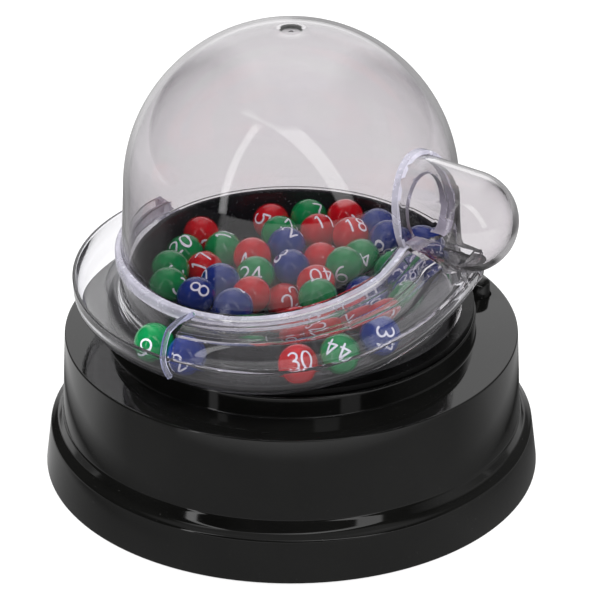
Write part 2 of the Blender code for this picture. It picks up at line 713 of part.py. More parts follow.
def make_button():
    """Push button with its stem, the coil spring under it and the switch it works."""
    at = polar(BUTTON_RADIUS_FROM_CENTRE, BUTTON_AZIMUTH)
    axis = axis_empty("button_axis", at)
    collar_top = BUTTON_FLANGE_Z + 1.7
    dome = arc(0, BUTTON_TOP_Z - 1.8, BUTTON_R, 1.8, 90, 10, 3)
    profile = dome + [
        (BUTTON_R, collar_top), (BUTTON_FLANGE_R, collar_top), (BUTTON_FLANGE_R, BUTTON_FLANGE_Z),
        (STEM_R, BUTTON_FLANGE_Z), (STEM_R, STEM_BOTTOM_Z), (0, STEM_BOTTOM_Z),
    ]
    black = principled("button_black", BLACK, 0.2)
    turned("push_button", profile, black, sides=SMALL, closed=False, at=at, parent=axis)
    make_spring(at)
    white = principled("switch_white", (0.6, 0.6, 0.58), 0.4)
    body_top = STEM_BOTTOM_Z - 3.0
    low = (BUTTON_RADIUS_FROM_CENTRE - 3.2, -4.2, SWITCH_RIB_Z + GAP)
    high = (BUTTON_RADIUS_FROM_CENTRE + 3.2, 4.2, body_top)
    body = box("switch_body", low, high, white, azimuth=BUTTON_AZIMUTH)
    cut(body, cylinder("switch_well", 1.1, body_top - 3, body_top + 1, at, sides=SMALL))
    plunger = principled("plunger_red", (0.4, 0.02, 0.02), 0.4)
    cylinder("switch_plunger", 1.0, body_top - 0.9, STEM_BOTTOM_Z - GAP, at, plunger, SMALL, axis)


def make_spring(at):
    """Coil spring between the button's flange and the guide rib."""
    low = GUIDE_RIB_Z + SPRING_WIRE_R + 0.1
    high = BUTTON_FLANGE_Z - SPRING_WIRE_R - 0.1
    curve = bpy.data.curves.new("button_spring", "CURVE")
    curve.dimensions = "3D"
    curve.bevel_depth = SPRING_WIRE_R * MM
    curve.bevel_resolution = 1
    curve.use_fill_caps = True
    points_per_turn = 12
    count = SPRING_TURNS * points_per_turn + 1
    spline = curve.splines.new("POLY")
    spline.points.add(count - 1)
    for i in range(count):
        z = low + (high - low) * i / (count - 1)
        spline.points[i].co = (*in_metres(polar(SPRING_MEAN_R, 360 * i / points_per_turn, z)), 1)
    spring = bpy.data.objects.new("button_spring", curve)
    curve.materials.append(principled("spring_steel", (0.6, 0.6, 0.6), 0.25, 1.0))
    spring.location = in_metres((at[0], at[1], 0))
    PARTS.objects.link(spring)


def make_wire(name, points, colour):
    """Insulated wire through a few points in millimetres."""
    curve = bpy.data.curves.new(name, "CURVE")
    curve.dimensions = "3D"
    curve.bevel_depth = WIRE_R * MM
    curve.bevel_resolution = 1
    curve.resolution_u = 4
    curve.use_fill_caps = True
    spline = curve.splines.new("NURBS")
    spline.points.add(len(points) - 1)
    for point, place in zip(spline.points, points):
        point.co = (*in_metres(place), 1)
    spline.use_endpoint_u = True
    spline.order_u = 4
    wire = bpy.data.objects.new(name, curve)
    curve.materials.append(principled(f"{name}_skin", colour, 0.45))
    PARTS.objects.link(wire)


def make_wires():
    """The three wires of the series circuit."""
    plus = (CONTACT_X, CELL_CENTRE_Y + CELL_PITCH, TAB_TOP_Z + 1.0)
    minus = (-CONTACT_X, CELL_CENTRE_Y - CELL_PITCH, TAB_TOP_Z + 1.0)
    to_switch = polar(SWITCH_WIRE_R, BUTTON_AZIMUTH - 2.5, 18.6)
    from_switch = polar(SWITCH_WIRE_R, BUTTON_AZIMUTH + 2.5, 18.6)
    motor_side = MOTOR_R + 1.2
    motor_plus = (motor_side, MOTOR_Y, 8)
    motor_minus = (-motor_side, MOTOR_Y, 8)
    first = (plus, (28, -4, 24.5), (36, 3, 24.0), (41, 9, 20.0), to_switch)
    second = (from_switch, (37, 20, 20), (26, 24, 14), (motor_side + 3, 19, 8), motor_plus)
    third = (motor_minus, (-motor_side - 6, 18, 8), (-30, 14, 16), (-33, -10, 24), (-28, -32, 25), minus)
    make_wire("wire_battery_to_switch", first, WIRE_RED)
    make_wire("wire_switch_to_motor", second, WIRE_RED)
    make_wire("wire_motor_to_battery", third, BLACK)


def dome_section(azimuth):
    """Dome's section from its outer pole down over the ridge and back up to its inner pole."""
    z_low = seam_z(azimuth)
    z_ridge = z_low + RIDGE_HEIGHT
    inner_r = DOME_R - DOME_WALL
    pole_z = DOME_CENTRE_Z + DOME_R - GATE_DEPTH
    outer = [(0, pole_z), (GATE_R, pole_z)]
    outer += arc(0, DOME_CENTRE_Z, DOME_R, DOME_R, 85, 0, 7)
    flare = SKIRT_FLARE * (DOME_CENTRE_Z - z_low) / (DOME_CENTRE_Z - SEAM_LOW_Z)
    outer += [(DOME_R + flare, z_ridge), (RIDGE_R, z_ridge), (RIDGE_R, z_low)]
    inner = [(inner_r + flare, z_low)]
    inner += arc(0, DOME_CENTRE_Z, inner_r, inner_r, 0, 90, 7)
    return outer + inner


def port_frame():
    """Matrix whose X axis runs outwards along the port's axis, in metres."""
    return Matrix.Rotation(math.radians(PORT_AZIMUTH), 4, "Z")


def make_port_solid(name, shrink, start, material=None):
    """Port chamber: an oval root that blends into a round, domed end."""
    bm = bmesh.new()
    stations = []
    for u, blend in ((start, 0.0), (42.0, 0.0), (46.0, 0.4), (PORT_END_U, 1.0)):
        width = PORT_ROOT_HALF_WIDTH + (PORT_END_R - PORT_ROOT_HALF_WIDTH) * blend
        height = PORT_ROOT_HALF_HEIGHT + (PORT_END_R - PORT_ROOT_HALF_HEIGHT) * blend
        stations.append((u, width - shrink, height - shrink))
    end_r = PORT_END_R - shrink
    for angle in (20, 40, 60, 78):
        turn = math.radians(angle)
        across = end_r * math.cos(turn)
        stations.append((PORT_END_U + end_r * math.sin(turn), across, across))
    rows = []
    for u, width, height in stations:
        ring = []
        for i in range(MEDIUM):
            angle = 2 * math.pi * i / MEDIUM
            place = in_metres((u, width * math.cos(angle), PORT_Z + height * math.sin(angle)))
            ring.append(bm.verts.new(port_frame() @ place))
        rows.append(ring)
    for here, there in zip(rows, rows[1:]):
        for i in range(MEDIUM):
            j = (i + 1) % MEDIUM
            bm.faces.new((here[i], here[j], there[j], there[i]))
    bm.faces.new(rows[0])
    pole = bm.verts.new(port_frame() @ in_metres((PORT_END_U + end_r, 0, PORT_Z)))
    for i in range(MEDIUM):
        bm.faces.new((rows[-1][i], rows[-1][(i + 1) % MEDIUM], pole))
    return add_object(name, mesh_from(name, bm), material)


def oval_bar(name, half_width, half_height, centre_z, start, end):
    """Bar of oval section along the port's axis."""
    bm = bmesh.new()
    place = port_frame() @ Matrix.Translation(in_metres(((start + end) / 2, 0, centre_z)))
    place = place @ Matrix.Rotation(math.radians(90), 4, "Y")
    place = place @ Matrix.Diagonal((half_height * MM, half_width * MM, (end - start) * MM, 1))
    bmesh.ops.create_cone(bm, cap_ends=True, segments=MEDIUM, radius1=1, radius2=1, depth=1, matrix=place)
    return add_object(name, mesh_from(name, bm), None)


def make_dome(axis):
    """Clear dome with its skirt, seam ridge and the oval hole of the port."""
    clear = principled("dome_clear", CLEAR, 0.05, alpha=0.3)
    mesh = ring_mesh("dome", dome_section, full_ring(), True, closed_section=False)
    dome = add_object("dome", mesh, clear, parent=axis)
    cut(dome, oval_bar("port_hole", PORT_HOLE_HALF_WIDTH, PORT_HOLE_HALF_HEIGHT, PORT_HOLE_Z, 25, 55))
    return dome


def tunnel_section(azimuth, shrink):
    """Section of the tunnel over the ramp, solid down to the tray's rim, smaller by the shrink."""
    rim = TRAY_RIM_Z + GAP + ramp_rise(azimuth)
    crown = seam_z(azimuth) + RIDGE_HEIGHT - 0.2 - shrink
    bottom = rim - (2.0 if shrink else 0.0)
    inner_r = RIDGE_R + GAP - (1.0 if shrink else 0.0)
    centre_r = 47.5
    points = [(inner_r, bottom), (inner_r, crown)]
    points += arc(centre_r, rim, TUNNEL_R - shrink - centre_r, crown - rim, 90, 0, 6)
    if shrink:
        points.append((TUNNEL_R - shrink, bottom))
    return points


def sphere_over_skirt(name, extra):
    """Solid that fills the dome and the collar, larger by a gap."""
    profile = arc(0, DOME_CENTRE_Z, DOME_R + extra, DOME_R + extra, 90, 0, 12)
    profile += [(COLLAR_R + extra, DOME_CENTRE_Z - 0.5), (COLLAR_R + extra, 40), (0, 40)]
    return turned(name, profile, sides=FINE, closed=False)


def make_chute_cover(axis):
    """Clear cover: tunnel over the ramp, drop shaft and port chamber with its root flange."""
    clear = principled("chute_clear", CLEAR, 0.05, alpha=0.3)
    azimuths = span(TUNNEL_MOUTH_AZIMUTH, RAMP_TOP_AZIMUTH + 1.5)
    mesh = ring_mesh("chute_cover", lambda a: tunnel_section(a, 0.0), azimuths, False)
    cover = add_object("chute_cover", mesh, clear, parent=axis)
    flange_half_width = PORT_ROOT_HALF_WIDTH + FLANGE_WIDTH
    flange_half_height = PORT_ROOT_HALF_HEIGHT + FLANGE_WIDTH
    flange = oval_bar("root_flange", flange_half_width, flange_half_height, PORT_Z, 30, 50)
    limit_r = DOME_R + FLANGE_REACH
    limit = turned("flange_limit", arc(0, DOME_CENTRE_Z, limit_r, limit_r, 90, -90, 24), closed=False)
    combine(flange, limit, "INTERSECT")
    shaft_at = polar(TRACK_R + 0.5, PORT_AZIMUTH - 3)
    join(cover, flange, make_port_solid("port_outer", 0.0, 37.0))
    join(cover, cylinder("shaft_outer", 6.6, SEAM_PORT_Z - 2.2, PORT_Z - 2.3, shaft_at, sides=SMALL))
    hollow_azimuths = span(TUNNEL_MOUTH_AZIMUTH - 3, RAMP_TOP_AZIMUTH - 0.4)
    hollow = ring_mesh("tunnel_hollow", lambda a: tunnel_section(a, TUNNEL_WALL), hollow_azimuths, False)
    cut(cover, add_object("tunnel_hollow", hollow, None))
    cut(cover, make_port_solid("port_inner", PORT_WALL, 36.0))
    cut(cover, cylinder("shaft_inner", 5.3, SEAM_PORT_Z - 6, PORT_Z - 1.1, shaft_at, sides=SMALL))
    cut(cover, sphere_over_skirt("dome_clearance", GAP))
    ridge_room = ring_mesh("ridge_room", ridge_room_section, full_ring(), True)
    cut(cover, add_object("ridge_room", ridge_room, None))
    return cover


def ridge_room_section(azimuth):
    """Room for the dome's ridge, with a gap all round."""
    low = seam_z(azimuth) - 20
    high = seam_z(azimuth) + RIDGE_HEIGHT + GAP
    return [(38.0, high), (RIDGE_R + GAP, high), (RIDGE_R + GAP, low), (38.0, low)]


def channel_section(azimuth):
    """Outside of the channel, filled up to its rim; its inner side ends inside the collar."""
    rise = ramp_rise(azimuth)
    left = COLLAR_INNER_R + 0.4
    half_width = CHANNEL_HALF_WIDTH + CHANNEL_WALL
    floor_arc = arc(TRACK_R, CHANNEL_Z + rise, half_width, CHANNEL_DEPTH + CHANNEL_WALL + 0.1, 180, 360, 7)
    points = [(max(r, left + 0.02 * i), z) for i, (r, z) in enumerate(floor_arc)]
    return points + [(TRACK_R + half_width, TRAY_RIM_Z + rise), (left, TRAY_RIM_Z + rise)]


def channel_hollow_section(azimuth):
    """Inside of the channel, taller than its rim."""
    rise = ramp_rise(azimuth)
    inner = arc(TRACK_R, CHANNEL_Z + rise, CHANNEL_HALF_WIDTH, CHANNEL_DEPTH, 180, 360, 7)
    left = COLLAR_R - 0.4
    top = TRAY_RIM_Z + 3 + rise
    return [(left, top), (left, CHANNEL_Z + rise + 0.5)] + inner + [(TRACK_R + CHANNEL_HALF_WIDTH, top)]


def collar_section(azimuth):
    """Collar under the dome's edge, which follows the seam."""
    top = seam_z(azimuth) - GAP
    bottom = COLLAR_BOTTOM_Z
    return [(COLLAR_INNER_R, top), (COLLAR_R, top), (COLLAR_R, bottom), (COLLAR_INNER_R, bottom)]


def make_ball_tray():
    """Clear tray: channel and ramp, closed at both ends, on a collar round the bowl."""
    clear = principled("tray_clear", CLEAR, 0.05, alpha=0.3)
    azimuths = span(TRAY_END_AZIMUTH, RAMP_TOP_AZIMUTH + 1.5)
    tray = add_object("ball_tray", ring_mesh("ball_tray", channel_section, azimuths, False), clear)
    hollow_azimuths = span(TRAY_END_AZIMUTH + 1.6, RAMP_TOP_AZIMUTH - 0.4)
    hollow = ring_mesh("channel_hollow", channel_hollow_section, hollow_azimuths, False)
    cut(tray, add_object("channel_hollow", hollow, None))
    collar = ring_mesh("tray_collar", collar_section, full_ring(), True)
    join(tray, add_object("tray_collar", collar, None))
    return tray


def ball(name, colour, at, parent=None):
    """One ball with its own material."""
    bm = bmesh.new()
    bmesh.ops.create_uvsphere(bm, u_segments=10, v_segments=8, radius=BALL_R * MM)
    material = principled(f"{name}_shell", BALL_COLOURS[colour], 0.2)
    return add_object(name, mesh_from(name, bm), material, at, parent)


def track_ball_z(azimuth):
    """Height of a ball's middle on the track, allowing for the ramp's slope."""
    step = 0.5
    run = 2 * TRACK_R * math.radians(step)
    slope = (ramp_rise(azimuth + step) - ramp_rise(azimuth - step)) / run
    return TRACK_BALL_Z + ramp_rise(azimuth) + BALL_R * (math.sqrt(1 + slope ** 2) - 1)


def make_tray_balls():
    """Drawn balls on the track: the first two roll along it, the others wait on the ramp."""
    for i, (colour, number, azimuth) in enumerate(TRAY_BALLS):
        rolls = azimuth < RAMP_FOOT_AZIMUTH
        axis = axis_empty(f"track_axis_{i + 1}", (0, 0, 0)) if rolls else None
        at = polar(TRACK_R, azimuth, track_ball_z(azimuth))
        ball(f"ball_{colour}_{number}", colour, at, axis)


def floor_under_ball(radius):
    """Lowest height of a ball's middle over the dish or the agitator, at a radius."""
    reach = DISH_CURVE_R - BALL_R - GAP
    z = DISH_CENTRE_Z + DISH_CURVE_R - math.sqrt(reach ** 2 - radius ** 2)
    if radius < AGITATOR_R + 1:
        z = max(z, FIN_TOP_Z + BALL_R + GAP)
    return z


def settle(places):
    """Move balls apart until none overlap, inside the bowl's wall and above its floor."""
    apart = 2 * BALL_R + TURNING_GAP
    wall = BOWL_R - BOWL_WALL - BALL_R - GAP
    balls = [Vector(place) for place in places]
    for _ in range(SETTLE_ROUNDS):
        for i, one in enumerate(balls):
            for other in balls[i + 1:]:
                between = other - one
                overlap = apart - between.length
                if overlap > 0:
                    push = between.normalized() * (overlap / 2 + 0.01)
                    one -= push
                    other += push
        for one in balls:
            radius = math.hypot(one.x, one.y)
            if radius > wall:
                one.x *= wall / radius
                one.y *= wall / radius
            one.z = max(one.z, floor_under_ball(min(radius, wall)))
    return balls


def make_bowl_balls(axis):
    """Balls in the bowl, which the agitator carries round."""
    places = settle([place for _, _, place in BOWL_BALLS])
    for (colour, number, _), place in zip(BOWL_BALLS, places):
        ball(f"ball_{colour}_{number}", colour, place, axis)


clear_scene()
PARTS = new_collection(OBJECT_NAME)
CUTTERS = new_collection("cutters")
AGITATOR_AXIS = axis_empty("agitator_axis", (0, 0, 0))
DOME_AXIS = axis_empty("dome_axis", (0, 0, 0))
make_housing()
make_bottom_cover()
make_battery_door()
make_fasteners_and_feet()
make_cells()
make_contacts()
make_bowl()
make_gearbox_plate()
make_bushing()
make_motor_drive()
make_agitator(AGITATOR_AXIS)
make_button()
make_wires()
make_dome(DOME_AXIS)
make_chute_cover(DOME_AXIS)
make_ball_tray()
make_tray_balls()
make_bowl_balls(AGITATOR_AXIS)
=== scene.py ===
"""Looks for the small electric bingo cage: clear mouldings, numbered balls and a glossy black base.

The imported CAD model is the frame, and it isn't moved. Fine pieces stand for its faceted shells and
balls, and the small parts inside the base keep their CAD shape and get better materials.
Dimensions are in millimetres and MM scales them where geometry is made. Azimuths are in degrees
from +X, anticlockwise from above; the front is at -90.
"""

import json
import math
import random

import bmesh
import bpy
from mathutils import Matrix, Vector


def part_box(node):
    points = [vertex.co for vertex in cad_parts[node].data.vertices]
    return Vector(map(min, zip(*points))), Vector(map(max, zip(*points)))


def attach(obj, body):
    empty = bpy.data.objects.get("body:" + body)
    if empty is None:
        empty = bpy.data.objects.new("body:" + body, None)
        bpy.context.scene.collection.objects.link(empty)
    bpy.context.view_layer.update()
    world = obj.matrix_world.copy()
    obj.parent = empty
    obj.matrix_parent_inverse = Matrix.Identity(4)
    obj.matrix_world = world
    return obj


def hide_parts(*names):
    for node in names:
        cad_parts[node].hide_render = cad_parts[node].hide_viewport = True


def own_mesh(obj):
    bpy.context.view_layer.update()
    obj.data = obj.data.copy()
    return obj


MM = 0.001

# Resolution of the fine pieces
RING_STEPS = 144
ARC_STEPS = 28
SECTION_STEPS = 14
TRACK_STEP = 2.5

# Seam between dome and tray: it starts to climb at one azimuth and ends at the port
SEAM_CLIMB_FROM = -146.0
SEAM_CLIMB_TO = -57.0
SEAM_LOW_Z = 57.6
SEAM_CLIMB = 12.0
SEAM_BACK_DIP = 2.0
SEAM_PORT_Z = 74.6
RIDGE_HEIGHT = 2.9
DOME_WALL = 1.5
SKIRT_FLARE = 0.8
GATE_R = 2.2
GATE_RIM_R = 2.9
GATE_DEPTH = 0.2
CROWN_R = 3.6

# Ball tray and the tunnel over its ramp
TRACK_R = 48.0
CHANNEL_HALF_WIDTH = 5.2
CHANNEL_WALL = 1.2
CHANNEL_Z = 50.5
CHANNEL_DEPTH = 4.0
TRAY_RIM_Z = 53.3
COLLAR_R = 42.8
COLLAR_INNER_R = 41.5
COLLAR_BOTTOM_Z = 45.1
TRAY_END = -228.0
RAMP_FOOT = -110.0
RAMP_TOP = -33.0
RAMP_RISE = 17.4
TUNNEL_MOUTH = -121.5
TUNNEL_R = 54.4
TUNNEL_WALL = 1.3
SHOULDER_RIB = 0.45
MOUTH_BULGE = 2.4

# Port
PORT_AZIMUTH = -38.0
PORT_Z = 83.5
PORT_END_U = 53.0
PORT_END_R = 12.4
PORT_ROOT_HALF_WIDTH = 10.6
PORT_ROOT_HALF_HEIGHT = 12.8
PORT_WALL = 1.4
PORT_HOLE_HALF_WIDTH = 7.6
PORT_HOLE_HALF_HEIGHT = 8.0
PORT_HOLE_Y = 2.0
PORT_HOLE_Z = 82.4
FLANGE_WIDTH = 0.9
FLANGE_REACH = 1.9
GAP = 0.3

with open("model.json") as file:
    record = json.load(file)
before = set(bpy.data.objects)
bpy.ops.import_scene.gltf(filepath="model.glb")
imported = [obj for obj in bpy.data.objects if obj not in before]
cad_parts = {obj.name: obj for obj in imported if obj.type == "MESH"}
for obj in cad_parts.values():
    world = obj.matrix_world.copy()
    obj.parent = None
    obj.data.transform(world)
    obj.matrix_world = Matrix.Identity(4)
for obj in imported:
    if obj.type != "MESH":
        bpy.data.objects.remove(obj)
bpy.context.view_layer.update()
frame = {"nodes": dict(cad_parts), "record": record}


def corners(node):
    """Lowest and highest corner of a CAD node, in millimetres."""
    low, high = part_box(node)
    return low / MM, high / MM


# Driving sizes that the frame gives
DOME_LOW, DOME_HIGH = corners("dome")
RIDGE_R = DOME_HIGH.x
DOME_R = 41.4
DOME_CENTRE_Z = DOME_HIGH.z - math.sqrt(DOME_R ** 2 - CROWN_R ** 2)
BASE_LOW, BASE_HIGH = corners("base_housing")
BASE_R = BASE_HIGH.x
NECK_TOP_Z = BASE_HIGH.z
BOWL_LOW, BOWL_HIGH = corners("bowl")
BALL_R = (corners("ball_green_9")[1].z - corners("ball_green_9")[0].z) / 2


# ---------------------------------------------------------------- geometry helpers

def polar(radius, azimuth, z=0.0):
    """Point at a radius and azimuth, in millimetres."""
    angle = math.radians(azimuth)
    return (radius * math.cos(angle), radius * math.sin(angle), z)


def metres(point):
    """A point given in millimetres, as a vector in metres."""
    return Vector(point) * MM


def place(name, mesh, *materials):
    """Put a mesh in the scene with its materials."""
    obj = bpy.data.objects.new(name, mesh)
    bpy.context.scene.collection.objects.link(obj)
    for material in materials:
        mesh.materials.append(material)
    return obj


def close_mesh(name, bm, sharp=32):
    """Turn a bmesh into a mesh with its faces out, shaded smooth except over sharp edges."""
    bmesh.ops.recalc_face_normals(bm, faces=bm.faces)
    mesh = bpy.data.meshes.new(name)
    bm.to_mesh(mesh)
    bm.free()
    mesh.shade_smooth()
    mesh.set_sharp_from_angle(angle=math.radians(sharp))
    return mesh


def arc(centre_r, centre_z, half_width, height, start, end, count):
    """Points of (radius, z) along an elliptical arc, from a start to an end angle in degrees."""
    points = []
    for i in range(count + 1):
        angle = math.radians(start + (end - start) * i / count)
        points.append((centre_r + half_width * math.cos(angle), centre_z + height * math.sin(angle)))
    return points


def soften(points, steps=4):
    """Round the corners of a profile: a point with a third value is a corner of that radius."""
    out = []
    count = len(points)
    for i, point in enumerate(points):
        here = Vector(point[:2])
        if len(point) < 3:
            out.append(tuple(here))
            continue
        before = Vector(points[i - 1][:2]) - here
        after = Vector(points[(i + 1) % count][:2]) - here
        reach = min(point[2], before.length * 0.48, after.length * 0.48)
        start = here + before.normalized() * reach
        end = here + after.normalized() * reach
        for k in range(steps + 1):
            t = k / steps
            bent = start * (1 - t) ** 2 + here * 2 * t * (1 - t) + end * t ** 2
            out.append(tuple(bent))
    return out


def loft(name, section_at, azimuths, ring, closed=True, sharp=32):
    """Loft a section of (radius, z) points round the Z axis, where the section may change on the way."""
    bm = bmesh.new()
    rows = []
    for azimuth in azimuths:
        rows.append([bm.verts.new(metres(polar(r, azimuth, z))) for r, z in section_at(azimuth)])
    count = len(rows[0])
    pairs = list(zip(rows, rows[1:]))
    if ring:
        pairs.append((rows[-1], rows[0]))
    for here, there in pairs:
        for i in range(count if closed else count - 1):
            j = (i + 1) % count
            bm.faces.new((here[i], here[j], there[j], there[i]))
    if not ring:
        bm.faces.new(rows[0])
        bm.faces.new(list(reversed(rows[-1])))
    bmesh.ops.remove_doubles(bm, verts=bm.verts, dist=0.000001)
    bmesh.ops.dissolve_degenerate(bm, edges=bm.edges, dist=0.0000005)
    return close_mesh(name, bm, sharp)


def all_round(steps=RING_STEPS):
    """Azimuths all round, without the repeated last one."""
    return [360 * i / steps - 180 for i in range(steps)]


def span(start, end, step=TRACK_STEP):
    """Azimuths from a start to an end, evenly spaced."""
    count = max(2, math.ceil(abs(end - start) / step))
    return [start + (end - start) * i / count for i in range(count + 1)]


def turned(name, profile, *materials, steps=RING_STEPS, closed=True, at=(0, 0, 0), sharp=32):
    """Turn a profile of (radius, z) round Z."""
    mesh = loft(name, lambda _: profile, all_round(steps), True, closed, sharp)
    obj = place(name, mesh, *materials)
    obj.location = metres(at)
    return obj


def boolean(obj, other, operation):
    """Join, cut or intersect a piece with another closed shape, which is then removed."""
    modifier = obj.modifiers.new("cut", "BOOLEAN")
    modifier.operation = operation
    modifier.solver = "EXACT"
    modifier.object = other
    bake(obj)
    bpy.data.objects.remove(other, do_unlink=True)


def bake(obj):
    """Apply an object's modifiers."""
    graph = bpy.context.evaluated_depsgraph_get()
    bpy.context.view_layer.update()
    mesh = bpy.data.meshes.new_from_object(obj.evaluated_get(graph), depsgraph=graph)
    obj.modifiers.clear()
    obj.data = mesh


def finish_edges(obj, sharp=32):
    """Weld and clean a cut mesh, and shade it smooth except over its sharp edges."""
    bm = bmesh.new()
    bm.from_mesh(obj.data)
    bmesh.ops.remove_doubles(bm, verts=bm.verts, dist=0.000004)
    bmesh.ops.dissolve_degenerate(bm, edges=bm.edges, dist=0.000002)
    bm.to_mesh(obj.data)
    bm.free()
    obj.data.shade_smooth()
    obj.data.set_sharp_from_angle(angle=math.radians(sharp))


def ease(value):
    """Smooth step from 0 to 1."""
    t = min(max(value, 0.0), 1.0)
    return t * t * (3 - 2 * t)


def seam_z(azimuth):
    """Height of the seam between dome and tray, which climbs along the ramp to the port."""
    a = (azimuth + 180) % 360 - 180
    back = SEAM_BACK_DIP * ease((a - 5) / 40) * ease((172 - a) / 36)
    if a < SEAM_CLIMB_FROM:
        return SEAM_LOW_Z
    climb = min((a - SEAM_CLIMB_FROM) / (SEAM_CLIMB_TO - SEAM_CLIMB_FROM), 1.0)
    low = SEAM_LOW_Z + SEAM_CLIMB * max(climb, 0.0) ** 2.5
    end_rise = SEAM_PORT_Z - SEAM_LOW_Z - SEAM_CLIMB
    height = low + end_rise * min(max((a + 62) / 11, 0.0), 1.0) ** 2
    return height + (SEAM_LOW_Z - height) * ease((a + 28) / 18) - back


def beside_tray(azimuth):
    """1 where the tray runs along the dome, 0 round the back, with short run-outs between."""
    a = (azimuth - TRAY_END) % 360
    port_side = -24 - TRAY_END
    return ease((port_side + 8 - a) / 8) if a > 180 else ease((a - 8) / 3)


def ramp_rise(azimuth):
    """How far the tray's floor has risen at an azimuth."""
    t = (azimuth - RAMP_FOOT) / (RAMP_TOP - RAMP_FOOT)
    return RAMP_RISE * min(max(t, 0.0), 1.0) ** 2


# ---------------------------------------------------------------- material helpers

class Shader:
    """A node material under construction."""

    def __init__(self, name):
        self.material = bpy.data.materials.new(name)
        self.material.use_nodes = True
        self.tree = self.material.node_tree
        self.tree.nodes.clear()
        self.output = self.node("ShaderNodeOutputMaterial")
        self.coords = None

    def node(self, kind, **settings):
        """Add a node. Settings are its properties, and keys with a capital are its inputs."""
        made = self.tree.nodes.new(kind)
        for key, value in settings.items():
            setattr(made, key, value)
        return made

    def set(self, node, **inputs):
        """Link or set a node's inputs by name; an underscore stands for a space."""
        for key, value in inputs.items():
            socket = node.inputs[key.replace("_", " ")]
            if isinstance(value, bpy.types.NodeSocket):
                self.tree.links.new(value, socket)
            else:
                socket.default_value = value
        return node

    def position(self):
        """Object coordinates, in metres."""
        if self.coords is None:
            self.coords = self.node("ShaderNodeTexCoord").outputs["Object"]
        return self.coords

    def noise(self, scale, detail=4.0, roughness=0.55, stretch=None):
        """Noise from 0 to 1 at a scale in cycles per metre, stretched along the axes if asked."""
        vector = self.position()
        if stretch:
            mapping = self.set(self.node("ShaderNodeMapping"), Vector=vector, Scale=stretch)
            vector = mapping.outputs["Vector"]
        made = self.node("ShaderNodeTexNoise")
        self.set(made, Vector=vector, Scale=scale, Detail=detail, Roughness=roughness)
        return made.outputs["Fac"]

    def ramp(self, value, low, high, start=0.0, end=1.0):
        """Map a value from the range low to high onto start to end, clamped."""
        made = self.node("ShaderNodeMapRange")
        made.inputs["Value"].default_value = 0
        self.tree.links.new(value, made.inputs["Value"])
        for key, number in (("From Min", low), ("From Max", high), ("To Min", start), ("To Max", end)):
            made.inputs[key].default_value = number
        return made.outputs["Result"]

    def blend(self, factor, one, other):
        """Mix two colours, each a tuple or a socket."""
        made = self.node("ShaderNodeMix", data_type="RGBA")
        for key, value in ((0, factor), (6, one), (7, other)):
            if isinstance(value, bpy.types.NodeSocket):
                self.tree.links.new(value, made.inputs[key])
            elif key == 0:
                made.inputs[key].default_value = value
            else:
                made.inputs[key].default_value = (*value, 1.0)
        return made.outputs[2]

    def mix(self, factor, one, other):
        """Mix two numbers or number sockets."""
        made = self.node("ShaderNodeMix", data_type="FLOAT")
        for key, value in ((0, factor), (2, one), (3, other)):
            if isinstance(value, bpy.types.NodeSocket):
                self.tree.links.new(value, made.inputs[key])
            else:
                made.inputs[key].default_value = value
        return made.outputs[0]

    def math(self, operation, one, other=0.0):
        """A math node on sockets or numbers."""
        made = self.node("ShaderNodeMath", operation=operation)
        for key, value in ((0, one), (1, other)):
            if isinstance(value, bpy.types.NodeSocket):
                self.tree.links.new(value, made.inputs[key])
            else:
                made.inputs[key].default_value = value
        return made.outputs[0]

    def bump(self, height, distance, strength=1.0):
        """Bump from a height of 0 to 1 over a distance in millimetres."""
        made = self.node("ShaderNodeBump")
        self.set(made, Height=height, Distance=distance * MM, Strength=strength)
        return made.outputs["Normal"]

    def principled(self, **inputs):
        """Principled shader with its inputs set or linked."""
        return self.set(self.node("ShaderNodeBsdfPrincipled"), **inputs).outputs["BSDF"]

    def done(self, shader):
        """Put a shader on the output and return the material."""
        self.tree.links.new(shader, self.output.inputs["Surface"])
        return self.material


def tinted(colour):
    """A colour with full alpha."""
    return (*colour, 1.0)


def gloss_black(name, base=(0.0016, 0.0016, 0.0015), roughness=0.055, dust=0.25):
    """Polished black moulding: faint flow marks, hair scratches in its gloss and a little dust."""
    s = Shader(name)
    cloud = s.noise(35, 5)
    colour = s.blend(s.ramp(cloud, 0.35, 0.75), base, tuple(c * 1.9 for c in base))
    specks = s.ramp(s.noise(2600, 2, 0.5), 0.735, 0.80)
    colour = s.blend(s.math("MULTIPLY", specks, dust), colour, (0.16, 0.155, 0.15))
    hair = s.ramp(s.noise(180, 6, 0.7, (1.0, 1.0, 0.12)), 0.3, 0.8, roughness * 0.7, roughness * 1.7)
    rough = s.math("ADD", hair, s.math("MULTIPLY", specks, 0.4))
    normal = s.bump(s.noise(95, 3, 0.5), 0.05, 0.22)
    return s.done(s.principled(
        Base_Color=colour, Roughness=rough, Normal=normal, IOR=1.5,
    ))


def satin_black(name, base=(0.012, 0.012, 0.0125), roughness=0.38, grain=900):
    """Moulded black plastic with a fine spark-eroded grain."""
    s = Shader(name)
    colour = s.blend(s.ramp(s.noise(60, 4), 0.3, 0.7), base, tuple(c * 1.7 for c in base))
    rough = s.ramp(s.noise(240, 5), 0.2, 0.8, roughness * 0.8, roughness * 1.25)
    normal = s.bump(s.noise(grain, 3, 0.6), 0.04, 0.5)
    return s.done(s.principled(Base_Color=colour, Roughness=rough, Normal=normal, IOR=1.5))


